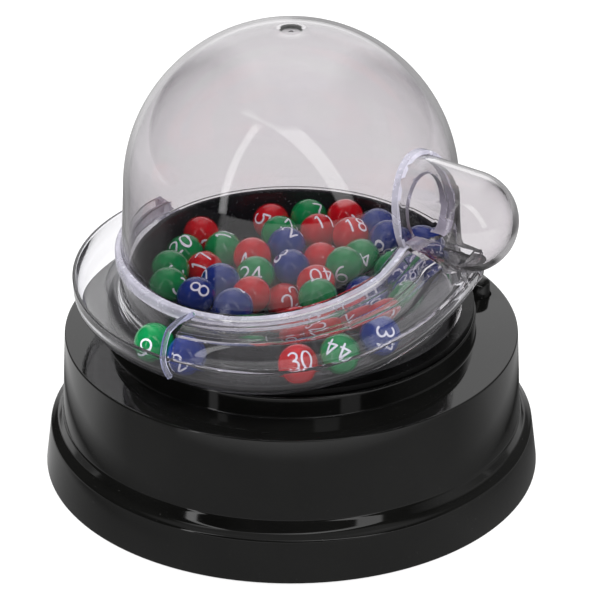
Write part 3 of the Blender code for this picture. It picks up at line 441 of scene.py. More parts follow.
def bowl_black(name):
    """Black bowl with scuffs from the balls and pale specks of wear."""
    s = Shader(name)
    base = s.blend(s.ramp(s.noise(70, 5), 0.3, 0.75), (0.006, 0.006, 0.0068), (0.013, 0.013, 0.015))
    specks = s.ramp(s.noise(1500, 2, 0.4), 0.69, 0.75)
    scuffs = s.ramp(s.noise(420, 5, 0.75, (1.0, 1.0, 3.0)), 0.60, 0.72, 0.0, 0.25)
    marks = s.math("MAXIMUM", s.math("MULTIPLY", specks, 0.5), scuffs)
    colour = s.blend(marks, base, (0.11, 0.11, 0.12))
    rough = s.ramp(s.noise(160, 5), 0.25, 0.8, 0.14, 0.32)
    normal = s.bump(s.noise(600, 4, 0.6), 0.03, 0.4)
    return s.done(s.principled(Base_Color=colour, Roughness=rough, Normal=normal, IOR=1.5))


def seat_black(name):
    """Painted shade: a darker, duller black with weak reflections for the faces under the tray, standing in for the
    shade there.
    """
    s = Shader(name)
    base = s.blend(s.ramp(s.noise(90, 5), 0.3, 0.75), (0.0012, 0.0012, 0.0012), (0.0024, 0.0024, 0.0024))
    rough = s.ramp(s.noise(240, 4), 0.3, 0.8, 0.24, 0.4)
    normal = s.bump(s.noise(700, 4, 0.6), 0.03, 0.3)
    return s.done(s.principled(
        Base_Color=base, Roughness=rough, Normal=normal, IOR=1.5, Specular_IOR_Level=0.12,
    ))


def clear_plastic(name, face, edge, milk=0.0, wave=0.12):
    """Clear moulding: see-through to light, a little darker and bluer where it is looked at edge on."""
    s = Shader(name)
    facing = s.set(s.node("ShaderNodeLayerWeight"), Blend=0.28).outputs["Facing"]
    colour = s.blend(s.math("POWER", facing, 2.2), face, edge)
    scuffs = s.ramp(s.noise(500, 5, 0.7, (1.0, 1.0, 2.5)), 0.62, 0.78, 0.0, 0.05)
    normal = s.bump(s.noise(45, 2, 0.4), 0.05, wave)
    cloudy = s.math("ADD", s.ramp(s.noise(80, 3), 0.3, 0.7, 1.0 - milk, 1.0 - milk * 0.6), 0.0)
    glass = s.principled(
        Base_Color=colour, Roughness=scuffs, Normal=normal, IOR=1.47, Transmission_Weight=cloudy,
    )
    light = s.node("ShaderNodeLightPath")
    through = s.set(s.node("ShaderNodeBsdfTransparent"), Color=tinted(face)).outputs["BSDF"]
    lets_light_by = s.math(
        "MAXIMUM", light.outputs["Is Shadow Ray"], light.outputs["Is Diffuse Ray"],
    )
    mix = s.node("ShaderNodeMixShader")
    s.tree.links.new(lets_light_by, mix.inputs[0])
    s.tree.links.new(glass, mix.inputs[1])
    s.tree.links.new(through, mix.inputs[2])
    return s.done(mix.outputs[0])


def frosted_plastic(name, colour, clear, flecks=0.6):
    """Cloudy moulded edge: partly clear, partly milky, with pale flecks and a rough skin."""
    s = Shader(name)
    facing = s.set(s.node("ShaderNodeLayerWeight"), Blend=0.35).outputs["Facing"]
    tint = s.blend(s.ramp(s.noise(240, 4, 0.6), 0.3, 0.7), colour, tuple(c * 0.8 for c in colour))
    tint = s.blend(s.math("POWER", facing, 3.0), tint, tuple(c * 0.55 for c in colour))
    spots = s.ramp(s.noise(1300, 3, 0.6), 0.62, 0.70, 0.0, flecks)
    tint = s.blend(spots, tint, (0.95, 0.95, 1.0))
    rough = s.ramp(s.noise(300, 4), 0.3, 0.8, 0.16, 0.34)
    through = s.ramp(s.noise(150, 3, 0.5), 0.35, 0.7, clear, clear - 0.2)
    normal = s.bump(s.noise(800, 4, 0.6), 0.08, 0.6)
    body = s.principled(
        Base_Color=tint, Roughness=rough, Normal=normal, IOR=1.47, Transmission_Weight=through,
    )
    return s.done(body)


def ball_plastic(name, colour):
    """Glossy opaque ball, with a slightly mottled colour and small scuffs."""
    s = Shader(name)
    dark = tuple(c * 0.62 for c in colour)
    shade = s.blend(s.ramp(s.noise(260, 4), 0.3, 0.72), colour, dark)
    scuffs = s.ramp(s.noise(900, 5, 0.7), 0.66, 0.76, 0.0, 0.2)
    shade = s.blend(scuffs, shade, (0.5, 0.5, 0.5))
    rough = s.ramp(s.noise(500, 4), 0.3, 0.8, 0.08, 0.2)
    normal = s.bump(s.noise(420, 3, 0.5), 0.03, 0.3)
    return s.done(s.principled(
        Base_Color=shade, Roughness=rough, Normal=normal, IOR=1.5,
        Coat_Weight=0.5, Coat_Roughness=0.03,
    ))


def white_ink(name):
    """Printed white ink that covers unevenly."""
    s = Shader(name)
    colour = s.blend(s.ramp(s.noise(1400, 4, 0.7), 0.35, 0.7), (0.56, 0.56, 0.61), (0.36, 0.36, 0.41))
    rough = s.ramp(s.noise(800, 3), 0.2, 0.8, 0.35, 0.6)
    return s.done(s.principled(Base_Color=colour, Roughness=rough))


def metal(name, colour, roughness, stretch=(1.0, 1.0, 12.0), scale=260):
    """Metal with fine drawn or turned marks and small stains."""
    s = Shader(name)
    marks = s.noise(scale, 6, 0.7, stretch)
    shade = s.blend(s.ramp(marks, 0.3, 0.7), colour, tuple(c * 0.72 for c in colour))
    stains = s.ramp(s.noise(120, 5), 0.55, 0.75, 0.0, 0.3)
    shade = s.blend(stains, shade, tuple(c * 0.45 for c in colour))
    rough = s.ramp(marks, 0.25, 0.75, roughness * 0.7, roughness * 1.5)
    normal = s.bump(marks, 0.02, 0.4)
    return s.done(s.principled(
        Base_Color=shade, Metallic=1.0, Roughness=rough, Normal=normal,
    ))


def matt(name, colour, roughness=0.5, grain=1200, depth=0.03):
    """Matt moulded plastic or rubber with grain and slight mottling."""
    s = Shader(name)
    shade = s.blend(s.ramp(s.noise(150, 5), 0.3, 0.75), colour, tuple(c * 0.7 for c in colour))
    rough = s.ramp(s.noise(500, 4), 0.2, 0.8, roughness * 0.85, min(roughness * 1.2, 1.0))
    normal = s.bump(s.noise(grain, 3, 0.6), depth, 0.5)
    return s.done(s.principled(Base_Color=shade, Roughness=rough, Normal=normal))


# ---------------------------------------------------------------- clear mouldings

def dome_section(azimuth):
    """Dome from its outer pole down over the ridge and back up to its inner pole."""
    z_low = seam_z(azimuth)
    z_ridge = z_low + RIDGE_HEIGHT
    inner_r = DOME_R - DOME_WALL
    crown_h = DOME_R - 0.06
    pole_z = DOME_HIGH.z - GATE_DEPTH
    flare = SKIRT_FLARE * (DOME_CENTRE_Z - z_low) / (DOME_CENTRE_Z - SEAM_LOW_Z)
    rim_angle = math.degrees(math.acos(GATE_RIM_R / DOME_R))
    points = [(0, pole_z - 0.15), (0.4, pole_z - 0.15), (0.6, pole_z), (GATE_R, pole_z, 0.15)]
    points += arc(0, DOME_CENTRE_Z, DOME_R, crown_h, rim_angle, 0, ARC_STEPS)
    ridge_r = DOME_R + flare + 0.04 + (RIDGE_R - DOME_R - flare - 0.04) * beside_tray(azimuth)
    points += [(DOME_R + flare, z_ridge, 0.5), (ridge_r, z_ridge, 0.6), (ridge_r, z_low, 0.3)]
    points += [(inner_r + flare, z_low, 0.2)]
    points += arc(0, DOME_CENTRE_Z, inner_r, inner_r, 0, 90, ARC_STEPS)
    return soften(points)


def port_frame():
    """Matrix whose X axis runs outwards along the port's axis, in metres."""
    return Matrix.Rotation(math.radians(PORT_AZIMUTH), 4, "Z")


def bar_mesh(name, stations, sides=64):
    """Solid along the port's axis through oval stations (distance, half width, half height, centre z)."""
    bm = bmesh.new()
    rows = []
    for u, width, height, z in stations:
        row = []
        for i in range(sides):
            angle = 2 * math.pi * i / sides
            row.append(bm.verts.new(port_frame() @ metres(
                (u, width * math.cos(angle), z + height * math.sin(angle)),
            )))
        rows.append(row)
    for here, there in zip(rows, rows[1:]):
        for i in range(sides):
            j = (i + 1) % sides
            bm.faces.new((here[i], here[j], there[j], there[i]))
    bm.faces.new(rows[0])
    bm.faces.new(rows[-1])
    bmesh.ops.remove_doubles(bm, verts=bm.verts, dist=0.000001)
    return close_mesh(name, bm)


def port_stations(shrink, start):
    """Stations of the port chamber: an oval root that blends into a round, domed end."""
    stations = []
    for u in (start, 41.0, 42.5, 44.0, 45.5, 47.0, 48.5, 50.0, 51.5, PORT_END_U):
        blend = min(max((u - 41.5) / (PORT_END_U - 41.5), 0.0), 1.0)
        width = PORT_ROOT_HALF_WIDTH + (PORT_END_R - PORT_ROOT_HALF_WIDTH) * blend
        height = PORT_ROOT_HALF_HEIGHT + (PORT_END_R - PORT_ROOT_HALF_HEIGHT) * blend
        stations.append((u, width - shrink, height - shrink, PORT_Z))
    end_r = PORT_END_R - shrink
    for i in range(1, SECTION_STEPS + 1):
        turn = math.radians(89 * i / SECTION_STEPS)
        across = end_r * math.cos(turn)
        stations.append((PORT_END_U + end_r * math.sin(turn), across, across, PORT_Z))
    return stations


def oval_bar(name, half_width, half_height, centre_z, start, end, aside=0.0):
    """Oval bar along the port's axis, or a little to one side of it."""
    ends = [(u, half_width, half_height, centre_z) for u in (start, end)]
    mesh = bar_mesh(name, ends)
    mesh.transform(Matrix.Translation(port_frame() @ metres((0, aside, 0))))
    return place(name, mesh)


def cylinder(name, radius, bottom, top, at, sides=48):
    """Upright closed cylinder centred on a point in plan."""
    profile = [(0, top), (radius, top), (radius, bottom), (0, bottom)]
    return turned(name, profile, steps=sides, closed=False, at=(at[0], at[1], 0))


def make_dome(clear, frosted):
    """Clear dome with its frosted seam ridge and the port's oval hole."""
    mesh = loft("clear_dome", dome_section, all_round(), True, closed=False)
    dome = place("clear_dome", mesh, clear, frosted)
    hole = oval_bar(
        "hole", PORT_HOLE_HALF_WIDTH, PORT_HOLE_HALF_HEIGHT, PORT_HOLE_Z, 25, 55, aside=PORT_HOLE_Y,
    )
    boolean(dome, hole, "DIFFERENCE")
    finish_edges(dome)
    for face in dome.data.polygons:
        centre = face.center / MM
        radius = math.hypot(centre.x, centre.y)
        azimuth = math.degrees(math.atan2(centre.y, centre.x))
        near_seam = seam_z(azimuth) - 0.5 < centre.z < seam_z(azimuth) + RIDGE_HEIGHT + 0.4
        local = port_frame().inverted() @ centre
        aside = (local.y - PORT_HOLE_Y) / PORT_HOLE_HALF_WIDTH
        oval = math.hypot(aside, (local.z - PORT_HOLE_Z) / PORT_HOLE_HALF_HEIGHT)
        on_ridge = near_seam and radius > DOME_R + SKIRT_FLARE + 0.15
        cut_edge = local.x > 0 and 0.985 < oval < 1.015
        face.material_index = 1 if on_ridge or cut_edge else 0
    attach(dome, "dome_assembly")
    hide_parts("dome")
    return dome


def tunnel_section(azimuth, shrink):
    """Section of the tunnel over the ramp, solid down to the tray's rim, smaller by the shrink."""
    rim = TRAY_RIM_Z + GAP + ramp_rise(azimuth)
    crown = seam_z(azimuth) + RIDGE_HEIGHT - 0.2 - shrink
    bottom = rim - (2.0 if shrink else 0.0)
    inner_r = RIDGE_R + GAP - (1.0 if shrink else 0.0)
    centre_r = 47.5
    points = [(inner_r, bottom), (inner_r, crown)]
    points += arc(centre_r, rim, TUNNEL_R - shrink - centre_r, crown - rim, 90, 0, 2 * SECTION_STEPS)
    if shrink:
        points.append((TUNNEL_R - shrink, bottom))
        return points
    shoulder = SECTION_STEPS
    for i in range(shoulder - 1, shoulder + 2):
        r, z = points[i]
        points[i] = (r + SHOULDER_RIB * 0.5, z + SHOULDER_RIB)
    for i in (-2, -1):
        points[i] = (TUNNEL_R + 0.25, points[i][1] + (0.6 if i == -2 else 0.0))
    points[-3] = (points[-3][0] + 0.03, rim + 0.95)
    return points


def ridge_room_section(azimuth):
    """Room for the dome's ridge, with a gap all round."""
    low = seam_z(azimuth) - 20
    high = seam_z(azimuth) + RIDGE_HEIGHT + GAP
    return [(38.0, high), (RIDGE_R + GAP, high), (RIDGE_R + GAP, low), (38.0, low)]


def make_chute_cover(clear, frosted, shell):
    """Clear cover: tunnel over the ramp, drop shaft and port chamber with its arched root flange."""
    mesh = loft("chute", lambda a: tunnel_section(a, 0.0), span(TUNNEL_MOUTH, RAMP_TOP + 1.5), False)
    cover = place("clear_chute_cover", mesh, clear, frosted, shell)
    half_width = PORT_ROOT_HALF_WIDTH + FLANGE_WIDTH
    half_height = PORT_ROOT_HALF_HEIGHT + FLANGE_WIDTH
    flange = oval_bar("flange", half_width, half_height, PORT_Z, 30, 50)
    limit_r = DOME_R + FLANGE_REACH
    limit_arc = arc(0, DOME_CENTRE_Z, limit_r, limit_r, 90, -90, 2 * ARC_STEPS)
    boolean(flange, turned("limit", limit_arc, closed=False), "INTERSECT")
    shaft_at = polar(TRACK_R + 0.5, PORT_AZIMUTH - 3)
    boolean(cover, flange, "UNION")
    boolean(cover, place("port", bar_mesh("port", port_stations(0.0, 37.0))), "UNION")
    boolean(cover, cylinder("shaft", 6.6, SEAM_PORT_Z - 2.2, PORT_Z - 2.3, shaft_at), "UNION")
    hollow_azimuths = span(TUNNEL_MOUTH - 3, RAMP_TOP - 0.4)
    hollow = loft("hollow", lambda a: tunnel_section(a, TUNNEL_WALL), hollow_azimuths, False)
    boolean(cover, place("hollow", hollow), "DIFFERENCE")
    boolean(cover, place("room", bar_mesh("room", port_stations(PORT_WALL, 36.0))), "DIFFERENCE")
    boolean(cover, cylinder("drop", 5.3, SEAM_PORT_Z - 6, PORT_Z - 1.1, shaft_at), "DIFFERENCE")
    inside_r = DOME_R + GAP
    skirt = arc(0, DOME_CENTRE_Z, inside_r, inside_r, 90, 0, ARC_STEPS)
    skirt += [(COLLAR_R + GAP, DOME_CENTRE_Z - 0.5), (COLLAR_R + GAP, 40), (0, 40)]
    boolean(cover, turned("inside", skirt, closed=False), "DIFFERENCE")
    ridge_room = place("ridge_room", loft("ridge_room", ridge_room_section, all_round(), True))
    boolean(cover, ridge_room, "DIFFERENCE")
    finish_edges(cover)
    frost_flange(cover)
    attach(cover, "dome_assembly")
    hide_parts("chute_cover")
    return cover


def tube(name, path, radius, sides=16):
    """Round tube with closed ends along a path of points in millimetres."""
    bm = bmesh.new()
    rows = []
    for i, point in enumerate(path):
        along = (path[min(i + 1, len(path) - 1)] - path[max(i - 1, 0)]).normalized()
        side = along.cross(Vector((0, 0, 1))).normalized()
        up = side.cross(along)
        row = []
        for k in range(sides):
            angle = 2 * math.pi * k / sides
            offset = side * math.cos(angle) + up * math.sin(angle)
            row.append(bm.verts.new((point + offset * radius) * MM))
        rows.append(row)
    for here, there in zip(rows, rows[1:]):
        for k in range(sides):
            bm.faces.new((here[k], here[(k + 1) % sides], there[(k + 1) % sides], there[k]))
    bm.faces.new(rows[0])
    bm.faces.new(rows[-1])
    return close_mesh(name, bm)


def even_section(points, count):
    """Points of a section spaced evenly along it, with its corners eased."""
    path = [Vector(point) for point in points]
    lengths = [0.0]
    for here, there in zip(path, path[1:]):
        lengths.append(lengths[-1] + (there - here).length)
    even = []
    for i in range(count):
        reach = lengths[-1] * i / (count - 1)
        k = max(j for j in range(len(path) - 1) if lengths[j] <= reach)
        part = (reach - lengths[k]) / (lengths[k + 1] - lengths[k])
        even.append(path[k].lerp(path[k + 1], min(part, 1.0)))
    for _ in range(6):
        middle = [(before + here + after) / 3 for before, here, after in zip(even, even[1:], even[2:])]
        even = [even[0]] + middle + [even[-1]]
    return even


def make_mouth_bead(tinted_edge):
    """Thick rounded lip of the tunnel's mouth, from the seam over and down the tray's outer wall."""
    rim = TRAY_RIM_Z + ramp_rise(TUNNEL_MOUTH)
    section = tunnel_section(TUNNEL_MOUTH, 0.0)[1:-4]
    section += [(54.95, rim + 1.2), (55.3, rim), (55.35, rim - 1.6), (55.1, rim - 3.2), (54.7, rim - 4.6)]
    path = []
    steps = 44
    for i, (r, z) in enumerate(even_section(section, steps + 1)):
        bulge = MOUTH_BULGE * math.sin(math.pi * i / steps) ** 0.8
        path.append(Vector(polar(r, TUNNEL_MOUTH - 0.3 - bulge, z)))
    bead = place("tunnel_mouth_bead", tube("tunnel_mouth_bead", path, 0.75), tinted_edge)
    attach(bead, "dome_assembly")


def frost_flange(cover):
    """Frost the flange round the port's root, and tint the port chamber like the dome."""
    inverse = port_frame().inverted()
    for face in cover.data.polygons:
        local = inverse @ face.center / MM
        oval = math.hypot(local.y / PORT_ROOT_HALF_WIDTH, (local.z - PORT_Z) / PORT_ROOT_HALF_HEIGHT)
        out = (face.center / MM - Vector((0, 0, DOME_CENTRE_Z))).length
        in_flange = oval > 1.02 and out < DOME_R + FLANGE_REACH + 0.2 and local.z > SEAM_PORT_Z
        in_port = local.x > 42.0 and local.z > PORT_Z - PORT_END_R + 1.5
        face.material_index = 1 if in_flange else 2 if in_port else 0


def channel_section(azimuth):
    """Outside of the channel, filled up to its rim; its inner side ends inside the collar."""
    rise = ramp_rise(azimuth)
    left = COLLAR_INNER_R + 0.4
    half_width = CHANNEL_HALF_WIDTH + CHANNEL_WALL
    depth = CHANNEL_DEPTH + CHANNEL_WALL + 0.1
    floor_arc = arc(TRACK_R, CHANNEL_Z + rise, half_width, depth, 180, 360, 2 * SECTION_STEPS)
    points = [(max(r, left + 0.01 * i), z) for i, (r, z) in enumerate(floor_arc)]
    top = TRAY_RIM_Z + rise
    outer_r = TRACK_R + half_width
    lip = [(outer_r, top - 0.8), (outer_r + 0.12, top - 0.65), (outer_r + 0.15, top - 0.45)]
    lip += [(outer_r + 0.1, top - 0.12), (outer_r - 0.05, top)]
    return points + lip + [(left, top)]


def channel_hollow_section(azimuth):
    """Inside of the channel, taller than its rim."""
    rise = ramp_rise(azimuth)
    base = CHANNEL_Z + rise
    inner = arc(TRACK_R, base, CHANNEL_HALF_WIDTH, CHANNEL_DEPTH, 180, 360, 2 * SECTION_STEPS)
    left = COLLAR_R - 0.4
    top = TRAY_RIM_Z + 3 + rise
    return [(left, top), (left, base + 0.5)] + inner + [(TRACK_R + CHANNEL_HALF_WIDTH + 1.1, top)]


def collar_section(azimuth):
    """Collar under the dome's edge, which follows the seam."""
    top = seam_z(azimuth) - GAP
    bottom = COLLAR_BOTTOM_Z
    return [(COLLAR_INNER_R, top), (COLLAR_R, top), (COLLAR_R, bottom), (COLLAR_INNER_R, bottom)]


def make_tray(clear, shell, frosted):
    """Clear tray: channel and ramp, closed at both ends, on a collar round the bowl."""
    mesh = loft("tray", channel_section, span(TRAY_END, RAMP_TOP + 1.5), False)
    tray = place("clear_ball_tray", mesh, clear, shell, frosted)
    hollow = loft("hollow", channel_hollow_section, span(TRAY_END + 1.6, RAMP_TOP - 0.4), False)
    boolean(tray, place("hollow", hollow), "DIFFERENCE")
    collar = place("collar", loft("collar", collar_section, all_round(), True))
    boolean(tray, collar, "UNION")
    finish_edges(tray)
    for face in tray.data.polygons:
        centre = face.center / MM
        azimuth = (math.degrees(math.atan2(centre.y, centre.x)) - TRAY_END) % 360
        if math.hypot(centre.x, centre.y) > COLLAR_R + 0.05:
            face.material_index = 2 if azimuth < 1.8 else 0
        else:
            face.material_index = 1 if azimuth > 204 else 0
    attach(tray, "base")
    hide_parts("ball_tray")
    return tray


# ---------------------------------------------------------------- black mouldings

BASE_WALL = 1.8
RING_TOP_R = 61.1
RING_TOP_Z = 11.6
WALL_FOOT_R = 57.9
WALL_TOP_R = 56.9
SHELF_Z = 37.2
NECK_R = 46.2
NECK_INNER_R = 44.2
BOSS_AT_R = 50.0
BOSS_AZIMUTHS = (-15, 90, 195)
BUTTON_AT_R = 50.5
BUTTON_AZIMUTH = 20.0
BUTTON_R = 3.3


def make_housing(black, painted_shade):
    """Black base: foot ring, ledge, wall, shelf and the neck, with screw bosses and the button's hole."""
    foot_z = BASE_LOW.z
    profile = [
        (NECK_INNER_R, NECK_TOP_Z, 0.2), (NECK_R, NECK_TOP_Z, 0.6), (NECK_R, SHELF_Z, 0.5),
        (WALL_TOP_R, SHELF_Z, 0.45), (WALL_FOOT_R, RING_TOP_Z + 3.9, 0.3), (WALL_FOOT_R + 0.3, RING_TOP_Z + 3.5, 0.3),
        (WALL_FOOT_R + 1.2, RING_TOP_Z + 1.4, 1.0), (WALL_FOOT_R + 2.0, RING_TOP_Z + 0.75, 1.0),
        (RING_TOP_R, RING_TOP_Z + 0.1, 0.45), (BASE_R, foot_z, 0.25),
        (BASE_R - BASE_WALL - 0.6, foot_z, 0.25), (RING_TOP_R - BASE_WALL, RING_TOP_Z - 2.0),
        (WALL_FOOT_R - BASE_WALL, RING_TOP_Z + 0.4), (WALL_TOP_R - BASE_WALL, SHELF_Z - BASE_WALL),
        (NECK_INNER_R, SHELF_Z - BASE_WALL),
    ]
    housing = turned("polished_base_housing", soften(profile, 5), black, painted_shade)
    for i, azimuth in enumerate(BOSS_AZIMUTHS):
        at = polar(BOSS_AT_R, azimuth)
        boolean(housing, cylinder("boss", 3.4, 3.3, SHELF_Z - 0.9, at), "UNION")
        boolean(housing, cylinder("pilot", 1.2, 2.0, 16.0, at), "DIFFERENCE")
    at = polar(BUTTON_AT_R, BUTTON_AZIMUTH)
    boolean(housing, cylinder("hole", BUTTON_R + GAP, SHELF_Z - 4, SHELF_Z + 2, at), "DIFFERENCE")
    finish_edges(housing)
    for face in housing.data.polygons:
        centre = face.center / MM
        radius = math.hypot(centre.x, centre.y)
        # Painted shade: the neck's top, under the tray, takes the darker shade black.
        face.material_index = 1 if radius < NECK_R - 0.45 and centre.z > SHELF_Z + 1 else 0
    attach(housing, "base")
    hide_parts("base_housing")
    return housing


def dish_z(radius):
    """Height of the bowl's dished floor at a radius."""
    return 34.0 + 89.0 - math.sqrt(89.0 ** 2 - radius ** 2)


def make_bowl(black, painted_shade):
    """Black bowl: rolled rim, flange, dished floor and the agitator's well."""
    rim_z = BOWL_HIGH.z
    outer_r = 41.0
    wall = 1.4
    inner = outer_r - wall
    well_r = 15.0
    well_z = 32.4
    profile = [(inner, rim_z, 0.6), (outer_r, rim_z, 0.6), (outer_r, 44.8, 0.3)]
    profile += [(BOWL_HIGH.x, 44.8, 0.3), (BOWL_HIGH.x, 43.2, 0.3), (outer_r, 43.2, 0.3)]
    profile += [(outer_r, dish_z(inner) - wall, 1.0)]
    profile += [(r, dish_z(r) - wall) for r in (36.0, 31.0, 27.0, 23.0, 19.0)]
    profile += [(well_r + wall, dish_z(well_r) - wall, 0.5), (well_r + wall, well_z - wall, 0.5)]
    profile += [(4.0, well_z - wall), (4.0, well_z), (well_r, well_z, 0.6), (well_r, dish_z(well_r), 0.5)]
    profile += [(r, dish_z(r)) for r in (19.0, 23.0, 27.0, 31.0, 35.0)]
    profile += [(inner, dish_z(inner) - 0.3, 3.0)]
    bowl = turned("black_bowl", soften(profile, 6), black, painted_shade)
    for side in (-1, 1):
        boolean(bowl, cylinder("post", 3.0, 25.3, dish_z(20.0) - 0.6, (side * 20.0, 4.0)), "UNION")
        boolean(bowl, cylinder("peg", 1.3, 21.8, 26.0, (side * 20.0, 4.0)), "UNION")
    finish_edges(bowl)
    for face in bowl.data.polygons:
        centre = face.center / MM
        # Painted shade: the flange under the tray takes the darker shade black.
        face.material_index = 1 if math.hypot(centre.x, centre.y) > outer_r - 0.1 else 0
    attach(bowl, "base")
    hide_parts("bowl")
    return bowl


def make_button(black):
    """Push button with a domed top, flange and stem."""
    low, high = corners("push_button")
    at = polar(BUTTON_AT_R, BUTTON_AZIMUTH)
    flange_z = 33.2
    profile = [(0, high.z)] + arc(0, high.z - 1.8, BUTTON_R, 1.8, 82, 14, 9)
    profile += [(BUTTON_R, flange_z + 1.7, 0.2), (4.4, flange_z + 1.7, 0.3), (4.4, flange_z, 0.3)]
    profile += [(1.2, flange_z, 0.2), (1.2, low.z, 0.3), (0, low.z)]
    button = turned("domed_push_button", soften(profile), black, steps=72, closed=False, at=at)
    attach(button, "button")
    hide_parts("push_button")
    return button


def make_spring(steel):
    """Coil spring under the button's flange, built at its CAD length and fixed to the base."""
    low, high = corners("button_spring")
    at = polar(BUTTON_AT_R, BUTTON_AZIMUTH)
    wire_r = 0.25
    coil_r = (high.x - low.x) / 2 - wire_r
    steps = 4 * 28
    path = []
    for i in range(steps + 1):
        turn = 360 * i / 28
        z = low.z + wire_r + (high.z - low.z - 2 * wire_r) * i / steps
        path.append(Vector(polar(coil_r, turn, z)) + Vector((at[0], at[1], 0)))
    spring = place("coil_spring", tube("coil_spring", path, wire_r, 12), steel)
    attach(spring, "base")
    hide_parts("button_spring")
    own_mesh(spring)


def make_agitator(black):
    """Agitator: a disc with a domed hub and four fins with rounded edges."""
    low, high = corners("agitator")
    radius = high.x
    disc_top = low.z + 1.6
    profile = [(0, high.z), (1.6, high.z, 0.6), (3.4, high.z - 1.2, 0.8), (4.2, disc_top, 1.2)]
    profile += [(radius, disc_top, 0.6), (radius, low.z, 0.6), (1.6, low.z, 0.2), (1.6, high.z - 3)]
    profile += [(0, high.z - 3)]
    disc = turned("finned_agitator", soften(profile), black, steps=96, closed=False)
    for i in range(4):
        bm = bmesh.new()
        turn = Matrix.Rotation(math.radians(90 * i + 30), 4, "Z")
        middle = Matrix.Translation(metres(((2.4 + radius - 0.5) / 2, 0, (disc_top + high.z - 1.2) / 2)))
        size = Matrix.Diagonal((*metres((radius - 2.9, 1.6, high.z - disc_top + 0.4)), 1))
        bmesh.ops.create_cube(bm, size=1, matrix=turn @ middle @ size)
        bmesh.ops.bevel(
            bm, geom=bm.edges[:], offset=0.5 * MM, segments=3, affect="EDGES", profile=0.5,
        )
        boolean(disc, place("fin", close_mesh("fin", bm)), "UNION")
    finish_edges(disc)
    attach(disc, "agitator")
    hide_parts("agitator")
    return disc


# ---------------------------------------------------------------- numbered balls

STROKE = 0.5
INK_ABOVE = 0.02
INK_BELOW = 0.06


def oval_stroke(x, y, rx, ry, start, end, count=14):
    """Points of an elliptical stroke."""
    points = []
    for i in range(count + 1):
        angle = math.radians(start + (end - start) * i / count)
        points.append((x + rx * math.cos(angle), y + ry * math.sin(angle)))
    return points


# Strokes of each digit in a box one unit high and centred on the origin
SIX = [oval_stroke(0.16, -0.16, 0.44, 0.66, 84, 180, 10) + oval_stroke(0, -0.2, 0.28, 0.28, 180, 540, 20)[1:]]
DIGITS = {
    "0": [oval_stroke(0, 0, 0.27, 0.47, 90, 450, 26)],
    "1": [[(-0.14, 0.3), (0.04, 0.47), (0.04, 0), (0.04, -0.47)]],
    "2": [oval_stroke(0, 0.22, 0.27, 0.25, 165, -35, 12) + [(-0.02, -0.2), (-0.28, -0.46), (0.3, -0.46)]],
    "3": [
        oval_stroke(0, 0.235, 0.25, 0.235, 150, -90, 12)
        + oval_stroke(0, -0.235, 0.28, 0.235, 90, -150, 12)[1:]
    ],
    "4": [[(0.12, -0.47), (0.12, 0), (0.12, 0.47), (-0.3, -0.16), (0.3, -0.16)]],
    "5": [[(0.24, 0.46), (-0.2, 0.46), (-0.24, 0.06)] + oval_stroke(0, -0.17, 0.28, 0.3, 128, -150, 16)],
    "6": SIX,
    "7": [[(-0.28, 0.46), (0.28, 0.46), (0.08, 0.06), (-0.06, -0.47)]],
    "8": [oval_stroke(0, 0.235, 0.23, 0.225, -90, 270, 20) + oval_stroke(0, -0.235, 0.27, 0.24, 90, 450, 20)],
    "9": [[(-x, -y) for x, y in SIX[0]]],
}
DIGIT_PITCH = 0.76


def even_steps(points, step):
    """Resample a stroke so that no step is longer than a length."""
    out = [points[0]]
    for a, b in zip(points, points[1:]):
        length = math.hypot(b[0] - a[0], b[1] - a[1])
        count = max(1, math.ceil(length / step))
        out += [(a[0] + (b[0] - a[0]) * k / count, a[1] + (b[1] - a[1]) * k / count) for k in range(1, count + 1)]
    return out


def on_ball(x, y, radius):
    """Wrap a flat point, measured from the middle of a print, onto a ball that faces +Z."""
    reach = math.hypot(x, y)
    if reach < 1e-9:
        return Vector((0, 0, radius))
    angle = reach / BALL_R
    side = math.sin(angle) * radius / reach
    return Vector((x * side, y * side, math.cos(angle) * radius))


def ink_stroke(bm, points, turn):
    """Raise one inked stroke, with tapered ends, on the ball."""
    points = even_steps(points, 0.35)
    last = len(points) - 1
    rows = []
    for i, (x, y) in enumerate(points):
        before = points[max(i - 1, 0)]
        after = points[min(i + 1, last)]
        along = Vector((after[0] - before[0], after[1] - before[1]))
        across = Vector((-along.y, along.x)).normalized() * STROKE / 2
        if i in (0, last):
            across *= 0.55
        row = []
        for side, radius in ((1, INK_ABOVE), (-1, INK_ABOVE), (-1, -INK_BELOW), (1, -INK_BELOW)):
            spot = on_ball(x + side * across.x, y + side * across.y, BALL_R + radius)
            row.append(bm.verts.new(turn @ (spot * MM)))
        rows.append(row)
    faces = [bm.faces.new(rows[0]), bm.faces.new(rows[-1])]
    for here, there in zip(rows, rows[1:]):
        for i in range(4):
            j = (i + 1) % 4
            faces.append(bm.faces.new((here[i], here[j], there[j], there[i])))
    for face in faces:
        face.material_index = 1


def print_number(bm, number, turn):
    """Print a number on the side of a ball that the turn faces."""
    text = str(number)
    height = 4.9 if len(text) == 1 else 4.5
    start = -(len(text) - 1) * DIGIT_PITCH * height / 2
    for i, digit in enumerate(text):
        for stroke in DIGITS[digit]:
            middle = start + i * DIGIT_PITCH * height
            ink_stroke(bm, [(middle + x * height, y * height) for x, y in stroke], turn)


